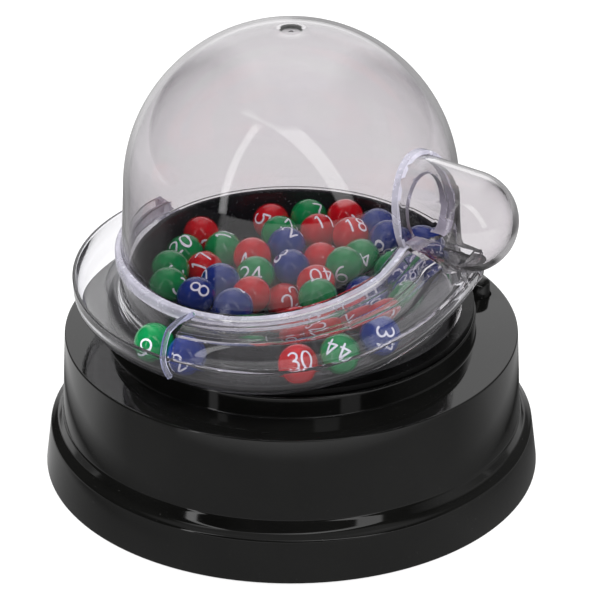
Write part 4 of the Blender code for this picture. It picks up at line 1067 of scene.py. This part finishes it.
def ball_mesh(name, number, turn):
    """Ball with a faint parting line and gate mark, and its number printed on two sides."""
    bm = bmesh.new()
    gate = Matrix.Rotation(math.radians(105), 4, "X")
    bmesh.ops.create_uvsphere(bm, u_segments=40, v_segments=26, radius=BALL_R * MM, matrix=turn @ gate)
    axis = (turn @ gate).to_3x3() @ Vector((0, 0, 1))
    for vert in bm.verts:
        lift = vert.co.normalized().dot(axis)
        if lift > 0.999:
            vert.co *= 1 - 0.035
        elif abs(lift) < 0.02:
            vert.co *= 1 - 0.004
    print_number(bm, number, turn)
    print_number(bm, number, turn @ Matrix.Rotation(math.pi, 4, "Y"))
    bmesh.ops.recalc_face_normals(bm, faces=bm.faces)
    mesh = bpy.data.meshes.new(name)
    bm.to_mesh(mesh)
    bm.free()
    mesh.shade_smooth()
    mesh.set_sharp_from_angle(angle=math.radians(40))
    return mesh


def facing(azimuth, elevation, roll):
    """Turn that points a print to an azimuth and elevation, with its top up and then rolled."""
    direction = Vector(polar(math.cos(math.radians(elevation)), azimuth, math.sin(math.radians(elevation))))
    turn = direction.to_track_quat("Z", "Y").to_matrix().to_4x4()
    return turn @ Matrix.Rotation(math.radians(roll), 4, "Z")


# Where a ball's print faces: azimuth, elevation and roll. The others face at random.
PRINT_FACING = {
    "ball_green_9": (-118, 10, -20),
    "ball_blue_12": (-130, -5, 30),
    "ball_red_30": (-84, 42, 6),
    "ball_green_44": (-100, 44, 165),
    "ball_blue_37": (-74, 22, -100),
    "ball_green_20": (-118, 60, 60),
    "ball_green_3": (-45, 22, -60),
    "ball_red_17": (-107, 58, 80),
    "ball_blue_8": (-72, 52, 50),
    "ball_red_4": (-112, 12, 20),
    "ball_green_24": (-108, 30, 10),
    "ball_red_22": (-52, 38, 30),
    "ball_red_5": (-128, 34, -80),
    "ball_green_7": (-48, 42, -30),
    "ball_red_11": (-40, 62, -20),
    "ball_green_6": (-100, -4, 10),
    "ball_red_2": (-138, 28, 90),
    "ball_blue_26": (-95, 40, 15),
    "ball_blue_28": (-80, 58, 20),
}

# Balls that only the picture needs, between and on top of the solid ones: colour, number and
# roughly where each one lies, in millimetres
LOOSE_BALLS = (
    ("green", 16, (-17.6, 16.9, 49.7)),
    ("green", 38, (-30.4, 2.2, 52.3)),
    ("blue", 10, (-17.6, -5.3, 52.6)),
    ("blue", 31, (-14.0, -20.4, 53.6)),
    ("red", 14, (-9.8, -11.5, 52.2)),
    ("green", 27, (-3.0, 24.2, 50.4)),
    ("blue", 21, (-1.2, 14.6, 52.1)),
    ("red", 1, (14.0, 31.3, 51.6)),
    ("red", 18, (15.2, 19.1, 52.6)),
    ("red", 34, (7.5, 10.2, 50.1)),
    ("green", 41, (17.7, 9.7, 51.3)),
    ("green", 29, (6.6, -15.5, 53.6)),
    ("red", 23, (22.2, -24.9, 53.6)),
    ("blue", 36, (24.7, 16.5, 53.1)),
    ("blue", 42, (34.2, 0.8, 53.6)),
    ("green", 35, (27.5, -16.5, 53.6)),
    ("blue", 39, (32.7, 10.6, 53.7)),
    ("red", 32, (7.5, -29.9, 53.6)),
    ("red", 25, (1.4, -23.1, 49.8)),
    ("blue", 43, (11.5, 14.2, 41.1)),
    ("red", 45, (13.7, 23.8, 43.4)),
    ("green", 46, (21.2, 16.3, 43.7)),
    ("blue", 47, (-19.5, -9.9, 43.9)),
    ("red", 48, (12.9, -12.9, 42.1)),
    ("green", 49, (-9.6, -23.2, 44.7)),
)
SETTLE_ROUNDS = 160
BALL_COLOURS = {
    "red": (0.36, 0.005, 0.010),
    "green": (0.002, 0.150, 0.042),
    "blue": (0.006, 0.019, 0.135),
}


def settle(rough, fixed):
    """Push loose balls clear of each other, of the fixed ones, the bowl's wall and its floor."""
    apart = 2 * BALL_R + 0.08
    wall = 41.0 - 1.4 - BALL_R - GAP
    places = [Vector(place) for place in rough]
    for _ in range(SETTLE_ROUNDS):
        for i, one in enumerate(places):
            for other in places[i + 1:]:
                between = other - one
                overlap = apart - between.length
                if overlap > 0:
                    push = between.normalized() * (overlap / 2 + 0.01)
                    one -= push
                    other += push
            for other in fixed:
                between = one - other
                overlap = apart - between.length
                if overlap > 0:
                    one += between.normalized() * (overlap + 0.01)
        for one in places:
            radius = math.hypot(one.x, one.y)
            if radius > wall:
                one.x *= wall / radius
                one.y *= wall / radius
                radius = wall
            floor = dish_z(radius) + (BALL_R + GAP) * 1.02
            if radius < 14:
                floor = max(floor, 40.6 + BALL_R + GAP)
            one.z = max(one.z, floor)
    return places


def make_balls(plastics, ink):
    """Fine printed balls in place of the CAD's, and the loose ones between them."""
    chance = random.Random(7)
    bodies = frame["record"]["behaviour"]["bodies"]
    body_of_node = {node: body for body, nodes in bodies.items() for node in nodes}
    fixed = []
    for node in sorted(n for n in frame["nodes"] if n.startswith("ball_") and n != "ball_tray"):
        low, high = corners(node)
        centre = (low + high) / 2
        if body_of_node[node] == "agitator":
            fixed.append(centre)
        spin = (chance.uniform(0, 360), chance.uniform(-40, 60), chance.uniform(0, 360))
        colour, number = node.split("_")[1:]
        mesh = ball_mesh(node, int(number), facing(*PRINT_FACING.get(node, spin)))
        ball = place(f"printed_{node}", mesh, plastics[colour], ink)
        ball.location = metres(centre)
        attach(ball, body_of_node[node])
        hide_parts(node)
    centres = settle([rough for _, _, rough in LOOSE_BALLS], fixed)
    for (colour, number, _), centre in zip(LOOSE_BALLS, centres):
        spin = (chance.uniform(-180, 180), chance.uniform(-50, 80), chance.uniform(0, 360))
        mesh = ball_mesh("loose", number, facing(*spin))
        ball = place(f"loose_ball_{colour}_{number}", mesh, plastics[colour], ink)
        ball.location = metres(centre)
        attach(ball, "agitator")


# ---------------------------------------------------------------- carried CAD nodes

def cell_wrap(name):
    """Printed film of a cell: a dark body with a copper band at its positive end, and bare ends."""
    s = Shader(name)
    split = s.node("ShaderNodeSeparateXYZ")
    s.tree.links.new(s.position(), split.inputs[0])
    along = s.math("ABSOLUTE", split.outputs[0])
    band = s.ramp(along, 13.4 * MM, 13.6 * MM)
    colour = s.blend(band, (0.018, 0.018, 0.02), (0.42, 0.2, 0.07))
    ends = s.ramp(along, 24.2 * MM, 24.3 * MM)
    colour = s.blend(ends, colour, (0.6, 0.6, 0.6))
    scuffs = s.ramp(s.noise(500, 6, 0.7, (0.3, 1.0, 1.0)), 0.6, 0.75, 0.0, 0.35)
    colour = s.blend(scuffs, colour, (0.3, 0.3, 0.3))
    rough = s.ramp(s.noise(300, 4), 0.3, 0.8, 0.18, 0.4)
    metallic = s.math("MAXIMUM", s.math("MULTIPLY", band, 0.7), ends)
    normal = s.bump(s.noise(300, 3), 0.02, 0.3)
    return s.done(s.principled(Base_Color=colour, Roughness=rough, Metallic=metallic, Normal=normal))


def dress_cad_nodes():
    """Give every carried CAD node a material of its own kind."""
    steel = metal("bright_steel", (0.58, 0.57, 0.55), 0.26)
    nickel = metal("nickel_plate", (0.62, 0.6, 0.56), 0.2, (1.0, 8.0, 1.0))
    can = metal("zinc_can", (0.5, 0.51, 0.52), 0.3, (1.0, 1.0, 20.0))
    brass = metal("turned_brass", (0.62, 0.42, 0.15), 0.24, (1.0, 1.0, 14.0), 500)
    bronze = metal("oilite_bronze", (0.42, 0.25, 0.11), 0.42, (1.0, 1.0, 1.0), 1500)
    cover = satin_black("cover_grain")
    rubber = matt("foot_rubber", (0.018, 0.018, 0.018), 0.8, 1800, 0.06)
    acetal = matt("white_acetal", (0.68, 0.68, 0.64), 0.42)
    switch = matt("switch_nylon", (0.5, 0.5, 0.47), 0.5)
    plunger = matt("red_nylon", (0.35, 0.015, 0.012), 0.4)
    red_wire = matt("red_insulation", (0.32, 0.012, 0.01), 0.42, 500)
    black_wire = matt("black_insulation", (0.012, 0.012, 0.012), 0.45, 500)
    wrap = cell_wrap("cell_wrap")
    finishes = {
        "bottom_cover": cover, "battery_door": cover, "door_screw": steel,
        "motor_can": can, "motor_shaft": steel, "pinion_gear": brass, "agitator_shaft": steel,
        "shaft_bushing": bronze, "drive_gear": acetal, "gearbox_plate": switch, "switch_body": switch,
        "switch_plunger": plunger, "wire_battery_to_switch": red_wire, "wire_switch_to_motor": red_wire,
        "wire_motor_to_battery": black_wire, "bridge_contact_1": nickel, "bridge_contact_2": nickel,
        "end_contact_plus": nickel, "end_contact_minus": nickel,
    }
    for i in range(1, 4):
        finishes[f"case_screw_{i}"] = steel
        finishes[f"rubber_foot_{i}"] = rubber
        finishes[f"battery_{i}"] = wrap
    for node, material in finishes.items():
        mesh = frame["nodes"][node].data
        mesh.materials.clear()
        mesh.materials.append(material)


# ---------------------------------------------------------------- studio

# Radiance of the studio's parts as mirrors see them
ROOM_GLOW = (0.035, 1.15)
SIDE_GLOW = 0.35
CEILING_GLOW = 0.28
LEFT_STRIP_GLOW = (3.2, 2.0)
RIGHT_STRIP_GLOW = (1.6, 2.2)
APRON_GLOW = 0.33
SHEET_GLOW = 0.95
# Floor glow beside the base as mirrors see it: low close in, as painted contact shade, up to lit floor further out
SIDE_FLOOR_GLOW = (0.04, 0.75)
DIFFUSE_SKY = 0.50


def sky():
    """White backdrop to the camera; to mirrors a studio with a dim front, strips and a ceiling."""
    s = Shader("studio_sky")
    world = bpy.data.worlds.new("studio")
    bpy.context.scene.world = world
    world.use_nodes = True
    bpy.data.materials.remove(s.material)
    s.tree = world.node_tree
    s.tree.nodes.clear()
    s.output = s.node("ShaderNodeOutputWorld")
    light = s.node("ShaderNodeLightPath")
    split = s.node("ShaderNodeSeparateXYZ")
    s.tree.links.new(s.node("ShaderNodeTexCoord").outputs["Generated"], split.inputs[0])
    x, y, z = split.outputs[0], split.outputs[1], split.outputs[2]

    def within(value, low, high, soft):
        """1 between two values, with soft edges."""
        inside = s.ramp(value, low - soft, low + soft)
        return s.math("MULTIPLY", inside, s.ramp(value, high - soft, high + soft, 1.0, 0.0))

    def product(*values):
        """Product of several values."""
        total = values[0]
        for value in values[1:]:
            total = s.math("MULTIPLY", total, value)
        return total

    def plane(normal):
        """How far a direction is from a plane through the origin."""
        total = s.math("MULTIPLY", x, normal[0])
        total = s.math("ADD", total, s.math("MULTIPLY", y, normal[1]))
        return s.math("ADD", total, s.math("MULTIPLY", z, normal[2]))

    room = product(
        s.ramp(y, -0.15, 0.45, *ROOM_GLOW), s.ramp(x, -0.50, -0.30, 0.03, 1.0),
        s.ramp(x, 0.32, 0.52, 1.0, 0.08),
    )
    sides = product(s.ramp(x, 0.80, 0.97, 0.0, SIDE_GLOW), s.ramp(z, -0.1, 0.1))
    ceiling = product(
        within(x, -0.48, 0.5, 0.05), within(y, -0.40, 0.40, 0.04), s.ramp(z, 0.3, 0.5, 0.0, CEILING_GLOW),
    )
    front = s.ramp(y, -0.25, -0.05, 1.0, 0.0)
    left = product(
        within(plane((0.658, -0.753, 0.031)), -0.005, 0.085, 0.008), within(z, 0.0, 0.87, 0.02), front,
        s.ramp(z, 0.0, 0.9, *LEFT_STRIP_GLOW),
    )
    right = product(
        within(plane((0.66, 0.712, 0.241)), -0.21, -0.02, 0.012), within(z, 0.13, 0.90, 0.02), front,
        s.ramp(z, 0.1, 0.9, *RIGHT_STRIP_GLOW),
    )
    glow = s.math("MAXIMUM", s.math("MAXIMUM", room, sides), ceiling)
    glow = s.math("ADD", glow, s.math("ADD", left, right))

    def background(value):
        """A background of one grey."""
        made = s.node("ShaderNodeBackground")
        if isinstance(value, float):
            made.inputs["Color"].default_value = (value, value, value, 1)
        else:
            s.tree.links.new(value, made.inputs["Color"])
        return made.outputs[0]

    def mixed(factor, one, other):
        """One background or the other."""
        made = s.node("ShaderNodeMixShader")
        s.tree.links.new(factor, made.inputs[0])
        s.tree.links.new(one, made.inputs[1])
        s.tree.links.new(other, made.inputs[2])
        return made.outputs[0]

    mirrored = s.math("GREATER_THAN", light.outputs["Glossy Depth"], 0.5)
    seen = mixed(mirrored, background(1.0), background(glow))
    s.done(mixed(light.outputs["Is Diffuse Ray"], seen, background(DIFFUSE_SKY)))


def floor():
    """Plain pale floor that mirrors see as a glowing grey sheet in front of the object, with painted shade close to
    the base standing in for its contact shadow.
    """
    bm = bmesh.new()
    bmesh.ops.create_grid(bm, x_segments=2, y_segments=2, size=6)
    mesh = bpy.data.meshes.new("floor")
    bm.to_mesh(mesh)
    bm.free()
    s = Shader("pale_floor")
    paper = s.blend(s.ramp(s.noise(6, 3), 0.3, 0.7), (0.17, 0.17, 0.17), (0.16, 0.16, 0.16))
    diffuse = s.set(s.node("ShaderNodeBsdfDiffuse"), Color=paper).outputs["BSDF"]
    glow = s.set(s.node("ShaderNodeEmission"), Color=tinted((1, 1, 1)), Strength=0.90).outputs[0]
    lifted = s.node("ShaderNodeAddShader")
    s.tree.links.new(diffuse, lifted.inputs[0])
    s.tree.links.new(glow, lifted.inputs[1])
    split = s.node("ShaderNodeSeparateXYZ")
    s.tree.links.new(s.position(), split.inputs[0])
    x, y = split.outputs[0], split.outputs[1]
    azimuth = s.math("ARCTAN2", y, x)
    radius = s.math("SQRT", s.math("ADD", s.math("MULTIPLY", x, x), s.math("MULTIPLY", y, y)))
    right_edge = s.ramp(azimuth, math.radians(-40), math.radians(5), 1.0, 0.0)
    sheet = s.math("MULTIPLY", s.ramp(azimuth, math.radians(-138), math.radians(-136)), right_edge)
    apron = s.math("MULTIPLY", s.ramp(azimuth, math.radians(-175), math.radians(-120)), right_edge)
    # Painted shadow in reflections: the glow is darkest just beside the base, standing in for its contact shadow,
    # with a lighter painted band at the foot, dimmer to the right and in front.
    beside = s.ramp(radius, 0.082, 0.098, *SIDE_FLOOR_GLOW)
    skirting = s.math("MULTIPLY", s.ramp(radius, 0.076, 0.084, 0.45, 0.0), s.ramp(x, -0.02, 0.02, 1.0, 0.35))
    beside = s.math("MAXIMUM", beside, skirting)
    beside = s.math("MULTIPLY", beside, s.ramp(x, -0.02, 0.02, 1.0, 0.62))
    beside = s.math("MULTIPLY", beside, s.ramp(y, -0.045, 0.0, 0.3, 1.0))
    beyond = s.math("MULTIPLY", beside, s.ramp(y, 0.08, 0.30, 0.3, 1.0))
    near = s.mix(apron, beside, APRON_GLOW)
    far = s.mix(sheet, beyond, SHEET_GLOW)
    grey = s.mix(s.ramp(radius, 0.145, 0.165), near, far)
    dim = s.set(s.node("ShaderNodeEmission"), Color=tinted((1, 1, 1)), Strength=grey).outputs[0]
    light = s.node("ShaderNodeLightPath")
    mirrored = s.math("GREATER_THAN", light.outputs["Glossy Depth"], 0.5)
    mix = s.node("ShaderNodeMixShader")
    s.tree.links.new(mirrored, mix.inputs[0])
    s.tree.links.new(lifted.outputs[0], mix.inputs[1])
    s.tree.links.new(dim, mix.inputs[2])
    one_sided = s.node("ShaderNodeMixShader")
    s.tree.links.new(s.node("ShaderNodeNewGeometry").outputs["Backfacing"], one_sided.inputs[0])
    s.tree.links.new(mix.outputs[0], one_sided.inputs[1])
    s.tree.links.new(s.node("ShaderNodeBsdfTransparent").outputs[0], one_sided.inputs[2])
    obj = place("floor", mesh, s.done(one_sided.outputs[0]))
    obj.location.z = -0.00002


def softbox(name, azimuth, elevation, distance, width, height, power):
    """Area light that points at the middle of the object."""
    lamp = bpy.data.lights.new(name, "AREA")
    lamp.shape = "RECTANGLE"
    lamp.size = width
    lamp.size_y = height
    lamp.energy = power
    obj = bpy.data.objects.new(name, lamp)
    bpy.context.scene.collection.objects.link(obj)
    flat = math.cos(math.radians(elevation))
    away = Vector((*polar(flat, azimuth)[:2], math.sin(math.radians(elevation))))
    obj.location = Vector((0, 0, 0.06)) + away * distance
    obj.rotation_euler = away.to_track_quat("Z", "Y").to_euler()
    obj.visible_glossy = False
    obj.visible_transmission = False


def camera():
    """Camera at the photographed angle."""
    data = bpy.data.cameras.new("camera")
    data.lens = 218.9
    data.sensor_width = 36
    data.clip_start = 0.05
    data.clip_end = 30
    obj = bpy.data.objects.new("camera", data)
    bpy.context.scene.collection.objects.link(obj)
    obj.location = (0.002157, -0.80369, 0.47820)
    obj.rotation_euler = (math.radians(61.654), 0, 0)
    bpy.context.scene.camera = obj


def studio():
    """Backdrop, floor, softboxes and camera."""
    sky()
    floor()
    softbox("key_overhead", -80, 62, 0.75, 0.34, 0.22, 9.0)
    softbox("left_strip", 168, 26, 0.8, 0.18, 0.5, 7.0)
    softbox("right_strip", 8, 24, 0.8, 0.2, 0.5, 7.0)
    softbox("front_fill", -90, 20, 1.6, 0.5, 0.3, 5.0)
    camera()
    scene = bpy.context.scene
    scene.view_settings.view_transform = "Standard"
    scene.cycles.transparent_max_bounces = 32
    scene.cycles.max_bounces = 24
    scene.cycles.transmission_bounces = 20
    scene.cycles.glossy_bounces = 8


# ---------------------------------------------------------------- assembly

shell = clear_plastic("clear_shell", (0.75, 0.73, 0.745), (0.58, 0.57, 0.62))
moulding = clear_plastic("clear_moulding", (0.83, 0.825, 0.845), (0.66, 0.67, 0.74), milk=0.011)
seam = frosted_plastic("frosted_seam", (0.50, 0.49, 0.575), 0.62)
make_dome(shell, seam)
make_chute_cover(moulding, seam, shell)
make_mouth_bead(clear_plastic("edge_tint", (0.74, 0.75, 0.90), (0.42, 0.44, 0.68), milk=0.06))
make_tray(moulding, shell, seam)
# Painted shade: a darker, duller black for faces that lie in shade under the tray.
painted_shade = seat_black("seat_black")
make_housing(gloss_black("housing_black"), painted_shade)
make_bowl(bowl_black("bowl_black"), painted_shade)
make_button(gloss_black("button_black", roughness=0.14))
make_spring(metal("spring_wire", (0.5, 0.5, 0.5), 0.22, (1.0, 1.0, 1.0), 900))
make_agitator(satin_black("agitator_black", (0.02, 0.02, 0.021)))
balls = {colour: ball_plastic(f"{colour}_ball", value) for colour, value in BALL_COLOURS.items()}
make_balls(balls, white_ink("white_ink"))
dress_cad_nodes()
studio()
